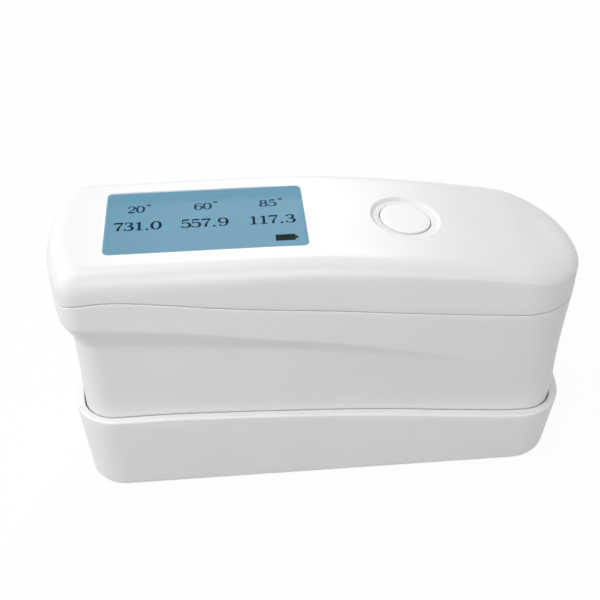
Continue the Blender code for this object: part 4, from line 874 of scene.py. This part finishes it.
def case_outer_rows():
    """Underside, lower zone, band, proud zone and outer edge of the parting line."""
    rows = rounded_foot(case_low, CASE_BOTTOM_SOFT, CASE_Z, 5)
    waist = ring(case_waist, CASE_WAIST_Z)
    rows += rows_between(rows[-1], waist, 2)
    rows.append(waist)
    rows += [low_wall(under_step(i / 7)) for i in range(1, 7)]
    for i in range(BAND_ROWS):
        share = -BAND_SOFT + (1 + 2 * BAND_SOFT) * i / (BAND_ROWS - 1)
        height = in_band(share)
        rows.append(blend(low_wall(height), proud_wall(height), soft_share(share, BAND_SOFT)))
    rows += rows_between(rows[-1], follow(cover_plan, SEAM_ROW, -GAP - SEAM_SOFT), 7)
    for a in arc_angles(5, 0.0, 90.0):
        rows.append(follow(cover_plan.inset(SEAM_SOFT * (1 - math.cos(a))), SEAM_ROW,
                           -GAP - SEAM_SOFT * (1 - math.sin(a))))
    return rows


def case_inner_rows():
    """Lip that locates the cover, inner walls and floor."""
    lip_out = COVER_WALL + GAP
    lip_in = lip_out + LIP_THICK
    rows = [follow(cover_plan.inset(lip_out), SEAM_ROW, -GAP),
            follow(cover_plan.inset(lip_out), SEAM_ROW, LIP_HEIGHT),
            follow(cover_plan.inset(lip_in), SEAM_ROW, LIP_HEIGHT),
            follow(cover_plan.inset(lip_in), SEAM_ROW, -LIP_DEPTH),
            low_wall(lambda x, y: step_low_z(x) + STEP_INNER_RISE, CASE_WALL),
            ring(case_waist.inset(CASE_WALL), CASE_WAIST_Z),
            ring(case_low.inset(CASE_WALL), FLOOR_TOP + FLOOR_SOFT),
            ring(case_low.inset(CASE_WALL + FLOOR_SOFT), FLOOR_TOP)]
    return rows + cap_rows(rows[-1], flat(FLOOR_TOP), 2)


# Case screws: place, top of the pillar in the lower case and foot of the boss in the cover
PILLARS = [(x, side * PILLAR_Y, top, boss)
           for x, top, boss in ((REAR_PILLAR_X, REAR_PILLAR_Z, OVER_BOARD_Z),
                                (NOSE_PILLAR_X, NOSE_PILLAR_Z, NOSE_PILLAR_Z + GAP))
           for side in (-1, 1)]


def add_pillars(case):
    for x, y, top, boss in PILLARS:
        pillar = cylinder("pillar", PILLAR_RADIUS, (x, y, FLOOR_TOP - PILLAR_SUNK), (x, y, top))
        combine(case, pillar, "UNION")
    for x, y, top, boss in PILLARS:
        head_z = top - SCREW_SHOULDER
        combine(case, cylinder("counterbore", COUNTERBORE, (x, y, CASE_Z - CUT), (x, y, head_z)))
        combine(case, cylinder("bore", BORE, (x, y, head_z - BORE_OVERLAP), (x, y, top + CUT)))


def open_case_floor(case):
    """Recess for the bottom plate, opening for the beams and holes for the plate's screws."""
    low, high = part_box("bottom_plate")
    recess = rounded_rectangle(high.x - low.x + 2 * GAP, high.y - low.y + 2 * GAP, PLATE_CORNER + GAP)
    combine(case, stacked("plate_recess", [(recess, CASE_Z - CUT), (recess, high.z + GAP)]))
    opening = rounded_rectangle(FLOOR_OPEN_LENGTH, FLOOR_OPEN_WIDTH, FLOOR_OPEN_CORNER)
    combine(case, stacked("floor_opening", [(opening, CASE_Z), (opening, FLOOR_TOP + CUT)]))
    for x in (-PLATE_SCREW_X, PLATE_SCREW_X):
        for y in (-PLATE_SCREW_Y, PLATE_SCREW_Y):
            combine(case, cylinder("floor_screw_hole", BORE, (x, y, CASE_Z), (x, y, FLOOR_TOP + CUT)))


def lower_case():
    case = loft("case_shell", case_outer_rows() + case_inner_rows())
    add_pillars(case)
    open_case_floor(case)
    combine(case, box("lip_notch", NOTCH_LOW, NOTCH_HIGH))
    return smooth(case)


# Top cover

def fillet_ring(a, inner, nose_fillet):
    """Row at an angle of the shoulder's rounding, which grows wider towards the nose."""
    share = 1 - math.cos(a)
    side_in, rear_in, nose_in = [inner + (r - inner) * share
                                 for r in (COVER_FILLET, COVER_REAR_FILLET, nose_fillet)]
    side_row = cover_plan.inset(side_in, rear_in).points()
    nose_row = cover_plan.inset(nose_in, rear_in).points()
    row = []
    for (x, y), (u, v) in zip(side_row, nose_row):
        w = nose_share(x)
        x += (u - x) * w
        y += (v - y) * w
        row.append((x, y, top_z(x, y) - inner - (fillet_drop(x) - inner) * (1 - math.sin(a))))
    return row


def cover_rows():
    """Ceiling and inner walls down to the parting line, then outer walls, shoulder and top."""
    inner_rows = [fillet_ring(a, COVER_WALL, COVER_FILLET) for a in arc_angles(7, 90.0, 0.0)]
    rows = list(reversed(cap_rows(inner_rows[0], lambda x, y: top_z(x, y) - COVER_WALL, 4)))
    rows += inner_rows
    rows.append(follow(cover_plan.inset(COVER_WALL), SEAM_ROW, 0.0))
    for a in arc_angles(5, 90.0, 0.0):
        edge = cover_plan.inset(SEAM_SOFT * (1 - math.cos(a)))
        rows.append(follow(edge, SEAM_ROW, SEAM_SOFT * (1 - math.sin(a))))
    outer_rows = [fillet_ring(a, 0.0, COVER_NOSE_FILLET) for a in arc_angles(FILLET_ROWS, 0.0, 90.0)]
    rows += rows_between(rows[-1], outer_rows[0], 5)
    rows += outer_rows
    return rows + cap_rows(rows[-1], top_z, TOP_CAP_ROWS)


def add_bosses(cover):
    bosses = [(x, y, boss, PILLAR_RADIUS, CASE_SCREW_PILOT) for x, y, top, boss in PILLARS]
    bosses += [(BOARD_SCREW_X, side * BOARD_SCREW_Y, OVER_BOARD_Z, BOARD_BOSS_RADIUS, BOARD_SCREW_PILOT)
               for side in (-1, 1)]
    for x, y, foot_z, radius, pilot in bosses:
        ceiling = top_z(x + radius) - BOSS_SUNK
        combine(cover, cylinder("boss", radius, (x, y, foot_z), (x, y, ceiling)), "UNION")
    for x, y, foot_z, radius, pilot in bosses:
        combine(cover, cylinder("pilot", BORE, (x, y, foot_z - CUT), (x, y, foot_z + pilot)))


def window_outline(grow):
    return rounded_rectangle(WINDOW_LENGTH + 2 * grow, WINDOW_WIDTH + 2 * grow, WINDOW_CORNER + grow, 10,
                             (WINDOW_X, 0.0))


def window_opening():
    """Cutter of the opening for the pane, with a rounded upper edge."""
    edge_z = HEIGHT - COVER_CROWN - WINDOW_EDGE
    layers = [(window_outline(WINDOW_GAP), WINDOW_TOP_Z - DEEP_CUT), (window_outline(WINDOW_GAP), edge_z)]
    for a in arc_angles(EDGE_STEPS, 30.0, 90.0):
        layers.append((window_outline(WINDOW_GAP + WINDOW_EDGE * (1 - math.cos(a))),
                       edge_z + (WINDOW_EDGE + COVER_CROWN) * math.sin(a)))
    layers.append((window_outline(WINDOW_GAP + WINDOW_EDGE), HEIGHT + WIDE_CUT))
    return stacked("window_opening", layers)


def button_dish():
    """Cutter of the dish round the button and of the button's hole."""
    profile = [(0.0, WIDE_CUT), (DISH_REACH + DISH_FLARE, WIDE_CUT)]
    for i in range(DISH_STEPS + 1):
        t = i / DISH_STEPS
        share = (1 - DISH_HOLLOW) * t + DISH_HOLLOW * (1 - (1 - t) ** 2)
        profile.append((DISH_REACH + (DISH_FOOT_RADIUS - DISH_REACH) * t,
                        DISH_TOP - (DISH_DEPTH + DISH_TOP) * share))
    hole = BUTTON_RADIUS + GAP
    for a in arc_angles(EDGE_STEPS, 90.0, 0.0):
        profile.append((hole + DISH_EDGE * (1 - math.cos(a)), -DISH_DEPTH - DISH_EDGE * (1 - math.sin(a))))
    profile += [(hole, -DEEP_CUT), (0.0, -DEEP_CUT)]
    return turned("button_dish", profile, KEY_PLACE)


def usb_opening():
    """Cutter of the socket's slot in the rear wall."""
    corner = USB_HEIGHT / 2 + GAP - 0.01 * MM
    outline = rounded_rectangle(USB_WIDTH + 2 * GAP, USB_HEIGHT + 2 * GAP, corner)
    slot = stacked("usb_opening", [(outline, -LENGTH / 2 - USB_OUT), (outline, -LENGTH / 2 + USB_IN)])
    lay_down = Matrix(((0, 0, 1, 0), (1, 0, 0, 0), (0, 1, 0, 0), (0, 0, 0, 1)))
    slot.data.transform(Matrix.Translation((0.0, 0.0, OVER_BOARD_Z + USB_HEIGHT / 2)) @ lay_down)
    return slot


def key_place():
    """Frame of the button: on the cover's face, along its slope."""
    fall = (top_z(BUTTON_X + SLOPE_STEP) - top_z(BUTTON_X - SLOPE_STEP)) / (2 * SLOPE_STEP)
    return Matrix.Translation((BUTTON_X, 0.0, top_z(BUTTON_X))) @ Matrix.Rotation(math.atan(-fall), 4, "Y")


KEY_PLACE = key_place()


def top_cover():
    cover = loft("cover_shell", cover_rows())
    add_bosses(cover)
    combine(cover, window_opening())
    combine(cover, button_dish())
    combine(cover, usb_opening())
    return smooth(cover)


# Window: clear faces, and sides painted with the field's colour and a painted glow up to the edge, standing
# in for the backlit field seen through the glass

def window_pane():
    low_z = WINDOW_TOP_Z - WINDOW_THICK
    layers = [(window_outline(PANE_GROW), low_z), (window_outline(PANE_GROW), WINDOW_TOP_Z - PANE_EDGE)]
    for a in arc_angles(EDGE_STEPS, 30.0, 90.0):
        layers.append((window_outline(PANE_GROW - PANE_EDGE * (1 - math.cos(a))),
                       WINDOW_TOP_Z - PANE_EDGE * (1 - math.sin(a))))
    return stacked("window_pane", layers)


# The pane's side faces take the painted glow of the field
def paint_sides_glow(pane):
    for face in pane.data.polygons:
        if abs(face.normal.z) < 0.5:
            face.material_index = 1


# Figures of the display: strokes of (across, up, half width), as shares of the figure's height

FIGURE_WIDE = 0.6
FIGURE_STRETCH = 1.27
POINT_STEP = 2.05 / 2.95
INK_GAIN = 1.7
INK_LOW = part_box("lcd_panel")[1].z + 0.01 * MM
INK_THICK = 0.05 * MM


def oval(cx, cy, rx, ry, thick, thin, count=40):
    pts = []
    for i in range(count + 1):
        a = 2 * math.pi * i / count
        w = thin + (thick - thin) * abs(math.cos(a)) ** 1.4
        pts.append((cx + rx * math.cos(a), cy + ry * math.sin(a), w))
    return pts


def spline(points, count=10):
    """Points with widths run through smoothly."""
    pts = [points[0]] + list(points) + [points[-1]]
    out = []
    for i in range(1, len(pts) - 2):
        for j in range(count):
            t = j / count
            out.append(tuple(
                0.5 * (2 * pts[i][k] + (pts[i + 1][k] - pts[i - 1][k]) * t
                       + (2 * pts[i - 1][k] - 5 * pts[i][k] + 4 * pts[i + 1][k] - pts[i + 2][k]) * t * t
                       + (3 * pts[i][k] - pts[i - 1][k] - 3 * pts[i + 1][k] + pts[i + 2][k]) * t ** 3)
                for k in range(3)))
    out.append(tuple(points[-1]))
    return out


SIX = spline([(0.5, 0.82, 0.05), (0.42, 0.94, 0.022), (0.28, 0.97, 0.02), (0.12, 0.78, 0.045),
              (0.07, 0.45, 0.06), (0.12, 0.15, 0.048), (0.3, 0.025, 0.02), (0.47, 0.12, 0.045),
              (0.53, 0.31, 0.055), (0.46, 0.5, 0.04), (0.3, 0.585, 0.02), (0.15, 0.49, 0.024),
              (0.08, 0.36, 0.03)])
FIGURES = {
    "0": [oval(0.3, 0.5, 0.235, 0.475, 0.062, 0.022)],
    "1": [[(0.33, 0.02, 0.055), (0.33, 0.98, 0.055)],
          [(0.33, 0.975, 0.022), (0.22, 0.88, 0.026), (0.13, 0.85, 0.02)],
          [(0.12, 0.02, 0.02), (0.53, 0.02, 0.02)]],
    "2": [spline([(0.11, 0.72, 0.05), (0.13, 0.88, 0.035), (0.3, 0.975, 0.022), (0.46, 0.88, 0.045),
                  (0.5, 0.7, 0.058), (0.4, 0.48, 0.04), (0.22, 0.24, 0.026), (0.09, 0.06, 0.02)]),
          [(0.07, 0.05, 0.05), (0.47, 0.05, 0.05)],
          [(0.47, 0.06, 0.03), (0.54, 0.22, 0.018)]],
    "3": [spline([(0.1, 0.8, 0.045), (0.16, 0.93, 0.028), (0.3, 0.975, 0.022), (0.44, 0.89, 0.045),
                  (0.46, 0.74, 0.055), (0.38, 0.58, 0.03), (0.22, 0.53, 0.018)]),
          spline([(0.22, 0.53, 0.018), (0.42, 0.48, 0.036), (0.52, 0.29, 0.062), (0.45, 0.1, 0.048),
                  (0.28, 0.025, 0.02), (0.13, 0.08, 0.03), (0.08, 0.2, 0.052)])],
    "5": [[(0.12, 0.94, 0.05), (0.44, 0.94, 0.05), (0.5, 0.99, 0.02)],
          [(0.13, 0.96, 0.02), (0.115, 0.52, 0.018)],
          spline([(0.115, 0.52, 0.018), (0.28, 0.61, 0.025), (0.45, 0.53, 0.046), (0.53, 0.32, 0.062),
                  (0.45, 0.1, 0.046), (0.27, 0.025, 0.02), (0.12, 0.09, 0.03), (0.08, 0.2, 0.052)])],
    "6": [SIX],
    "7": [[(0.08, 0.93, 0.05), (0.55, 0.93, 0.05)],
          [(0.085, 0.96, 0.022), (0.07, 0.76, 0.016)],
          spline([(0.545, 0.93, 0.02), (0.42, 0.66, 0.026), (0.31, 0.36, 0.045), (0.27, 0.03, 0.06)])],
    "8": [oval(0.3, 0.745, 0.185, 0.225, 0.052, 0.022), oval(0.3, 0.27, 0.225, 0.245, 0.06, 0.022)],
    "9": [[(FIGURE_WIDE - x, 1 - y, w) for x, y, w in SIX]],
    ".": [oval(0.195, 0.06, 0.03, 0.035, 0.035, 0.035, 16)],
    "o": [oval(0.26, 1.06, 0.115, 0.085, 0.03, 0.024, 20)],
}


def ribbon(bm, stroke):
    """Flat band of varying width as a thin closed solid."""
    corners = ((1, INK_LOW), (-1, INK_LOW), (-1, INK_LOW + INK_THICK), (1, INK_LOW + INK_THICK))
    closed = math.dist(stroke[0][:2], stroke[-1][:2]) < 1e-9
    pts = stroke[:-1] if closed else stroke
    n = len(pts)
    sides = []
    for i, (x, y, w) in enumerate(pts):
        before = pts[(i - 1) % n] if closed or i else pts[0]
        after = pts[(i + 1) % n] if closed or i < n - 1 else pts[-1]
        dx = after[0] - before[0]
        dy = after[1] - before[1]
        size = math.hypot(dx, dy) or 1.0
        across = (-dy / size * w, dx / size * w)
        sides.append([bm.verts.new((x + s * across[0], y + s * across[1], z)) for s, z in corners])
    pairs = list(zip(sides, sides[1:]))
    if closed:
        pairs.append((sides[-1], sides[0]))
    for a, b in pairs:
        for k in range(4):
            m = (k + 1) % 4
            bm.faces.new((a[k], a[m], b[m], b[k]))
    if not closed:
        bm.faces.new(sides[0])
        bm.faces.new(list(reversed(sides[-1])))


def write(bm, text, left, foot_y, height, pitch):
    x = left
    for mark in text:
        for stroke in FIGURES[mark]:
            ribbon(bm, [(x + px * height * FIGURE_STRETCH, foot_y + py * height, w * height * INK_GAIN)
                        for px, py, w in stroke])
        x += pitch * (POINT_STEP if mark == "." else 1.0)


def figure_line(name, texts, foot_y, height, pitch):
    """One line of texts, each with the place of its left edge in millimetres."""
    bm = bmesh.new()
    for text, left in texts:
        write(bm, text, left * MM, foot_y, height, pitch)
    return new_object(name, mesh_from(name, bm))


def battery_sign():
    levels = (INK_LOW, INK_LOW + INK_THICK)
    cell = rounded_rectangle(5.75 * MM, 3.0 * MM, 0.12 * MM, 3, (-10.5 * MM, -8.25 * MM))
    sign = stacked("display_battery", [(cell, z) for z in levels])
    nub = rounded_rectangle(0.8 * MM, 1.1 * MM, 0.1 * MM, 3, (-7.25 * MM, -8.25 * MM))
    combine(sign, stacked("nub", [(nub, z) for z in levels]), "UNION")
    return sign


# Button

def key_cap():
    """Cap with a rounded edge, the flange that keeps it in the cover, and its stem."""
    flat_radius = BUTTON_RADIUS - BUTTON_EDGE
    profile = [(0.0, -BUTTON_DROP)]
    for i in range(1, BUTTON_STEPS + 1):
        profile.append((flat_radius * i / BUTTON_STEPS, -BUTTON_DROP))
    for a in arc_angles(7, 90.0, 0.0)[1:]:
        profile.append((BUTTON_RADIUS - BUTTON_EDGE * (1 - math.cos(a)),
                        -BUTTON_DROP - BUTTON_EDGE * (1 - math.sin(a))))
    flange = BUTTON_RADIUS + BUTTON_FLANGE
    flange_low = BUTTON_FLANGE_TOP - BUTTON_FLANGE_THICK
    profile += [(BUTTON_RADIUS, BUTTON_FLANGE_TOP), (flange, BUTTON_FLANGE_TOP), (flange, flange_low),
                (BUTTON_STEM_RADIUS, flange_low), (BUTTON_STEM_RADIUS, BUTTON_STEM_END),
                (0.0, BUTTON_STEM_END)]
    return smooth(turned("key_cap", profile, KEY_PLACE))


# Floor, world, lamps and camera

FLOOR_SIZE = 6.0
FLOOR_DROP = 0.0002
FLOOR_SHADE = (0.3, 0.3, 0.3)
FLOOR_PALE = (0.9, 0.9, 0.9)
FLOOR_GLOW_SHARE = 0.95
WORLD_REAR = 0.48
WORLD_NOSE = 0.18
LAMP_AIM = Vector((0.0, 0.0, 0.05))
LAMP_DISTANCE = 0.8
LAMP_SIZE = 0.4
CAMERA_PLACE = (-0.027352, -0.245784, 0.256627)
CAMERA_TURN = (51.0205, 0.0742, -5.1051)
CAMERA_LENS = 60.48692
CAMERA_SENSOR = 36.0


def background_rays(tree):
    """1 for the rays of the camera and for those that metal and glass send on, else 0."""
    path = tree.nodes.new("ShaderNodeLightPath")
    total = path.outputs["Is Camera Ray"]
    for output in ("Is Glossy Ray", "Is Transmission Ray"):
        larger = tree.nodes.new("ShaderNodeMath")
        larger.operation = "MAXIMUM"
        link(tree, total, larger.inputs[0])
        link(tree, path.outputs[output], larger.inputs[1])
        total = larger.outputs[0]
    return total


def floor_material():
    """Pale floor that takes a shadow and is near white to the background's rays."""
    mat, tree, shader = nodes_of("floor_white")
    shader.inputs["Roughness"].default_value = 0.9
    shader.inputs["Specular IOR Level"].default_value = 0.1
    path = tree.nodes.new("ShaderNodeLightPath")
    shade = mix(tree, path.outputs["Is Camera Ray"], FLOOR_SHADE, FLOOR_PALE)
    link(tree, shade, shader.inputs["Base Color"])
    glow = tree.nodes.new("ShaderNodeEmission")
    glow.inputs["Strength"].default_value = 1.0
    share = tree.nodes.new("ShaderNodeMath")
    share.operation = "MULTIPLY"
    share.inputs[1].default_value = FLOOR_GLOW_SHARE
    link(tree, background_rays(tree), share.inputs[0])
    both = tree.nodes.new("ShaderNodeMixShader")
    link(tree, share.outputs[0], both.inputs["Fac"])
    link(tree, shader.outputs[0], both.inputs[1])
    link(tree, glow.outputs[0], both.inputs[2])
    link(tree, both.outputs[0], tree.nodes["Material Output"].inputs["Surface"])
    return mat


def studio_world():
    """White to the background's rays, and to the others a soft light that falls off to the nose's side."""
    world = bpy.data.worlds.new("studio")
    world.use_nodes = True
    tree = world.node_tree
    back = tree.nodes["Background"]
    back.inputs["Color"].default_value = (1.0, 1.0, 1.0, 1.0)
    sky = tree.nodes.new("ShaderNodeTexCoord")
    split = tree.nodes.new("ShaderNodeSeparateXYZ")
    link(tree, sky.outputs["Generated"], split.inputs[0])
    level = tree.nodes.new("ShaderNodeMapRange")
    link(tree, ramp(tree, split.outputs["X"], -1.0, 1.0, WORLD_REAR, WORLD_NOSE), level.inputs["To Min"])
    level.inputs["To Max"].default_value = 1.0
    link(tree, background_rays(tree), level.inputs["Value"])
    link(tree, level.outputs["Result"], back.inputs["Strength"])
    return world


def area_light(name, azimuth, elevation, power):
    """Round lamp; azimuth 0 is in front and 90 at the nose."""
    lamp = bpy.data.lights.new(name, "AREA")
    lamp.shape = "DISK"
    lamp.size = LAMP_SIZE
    lamp.energy = power
    obj = bpy.data.objects.new(name, lamp)
    bpy.context.scene.collection.objects.link(obj)
    turned_by = math.radians(azimuth)
    raised_by = math.radians(elevation)
    level = math.cos(raised_by)
    direction = Vector((math.sin(turned_by) * level, -math.cos(turned_by) * level, math.sin(raised_by)))
    obj.location = LAMP_AIM + direction * LAMP_DISTANCE
    obj.rotation_euler = (-direction).to_track_quat("-Z", "Y").to_euler()


def studio_camera():
    """Camera at the photograph's place and angle."""
    data = bpy.data.cameras.new("camera")
    data.lens = CAMERA_LENS
    data.sensor_width = CAMERA_SENSOR
    data.clip_start = 0.01
    camera = new_object("camera", data)
    camera.location = CAMERA_PLACE
    camera.rotation_euler = [math.radians(angle) for angle in CAMERA_TURN]
    return camera


# Build

dress_solids()
dress(calibration_base(), [white_base], BODY, "white_plastic", "calibration_base")
dress(lower_case(), [white], BODY, "white_plastic", "lower_case")
dress(top_cover(), [white], BODY, "white_plastic", "top_cover")
pane = window_pane()
dress(pane, [pane_clear, painted_side_glow], BODY, "window_clear", "display_window")
paint_sides_glow(pane)
readings = figure_line("display_readings", (("731.0", -60.6), ("557.9", -40.9), ("117.3", -21.0)),
                       -0.85 * MM, 4.2 * MM, 2.98 * MM)
dress(readings, [ink], BODY, "lcd_blue")
angles = figure_line("display_angles", (("20o", -56.8), ("60o", -36.8), ("85o", -17.2)),
                     8.3 * MM, 3.5 * MM, 2.65 * MM)
dress(angles, [ink_pale], BODY, "lcd_blue")
dress(battery_sign(), [ink_black], BODY, "lcd_blue")
dress(key_cap(), [key_white], KEY_BODY, "key_plastic", "button_cap")

bpy.ops.mesh.primitive_plane_add(size=FLOOR_SIZE, location=(0.0, 0.0, -FLOOR_DROP))
floor = bpy.context.object
floor.name = "floor"
floor.data.materials.append(floor_material())

scene = bpy.context.scene
scene.view_settings.view_transform = "Standard"
scene.world = studio_world()
area_light("left_light", -90.0, 25.0, 2.25)
area_light("high_light", -45.0, 60.0, 1.88)
area_light("back_light", 174.0, 42.0, 2.5)
area_light("front_light", 0.0, 15.0, 1.8)
area_light("nose_light", 60.0, 10.0, 0.45)
scene.camera = studio_camera()
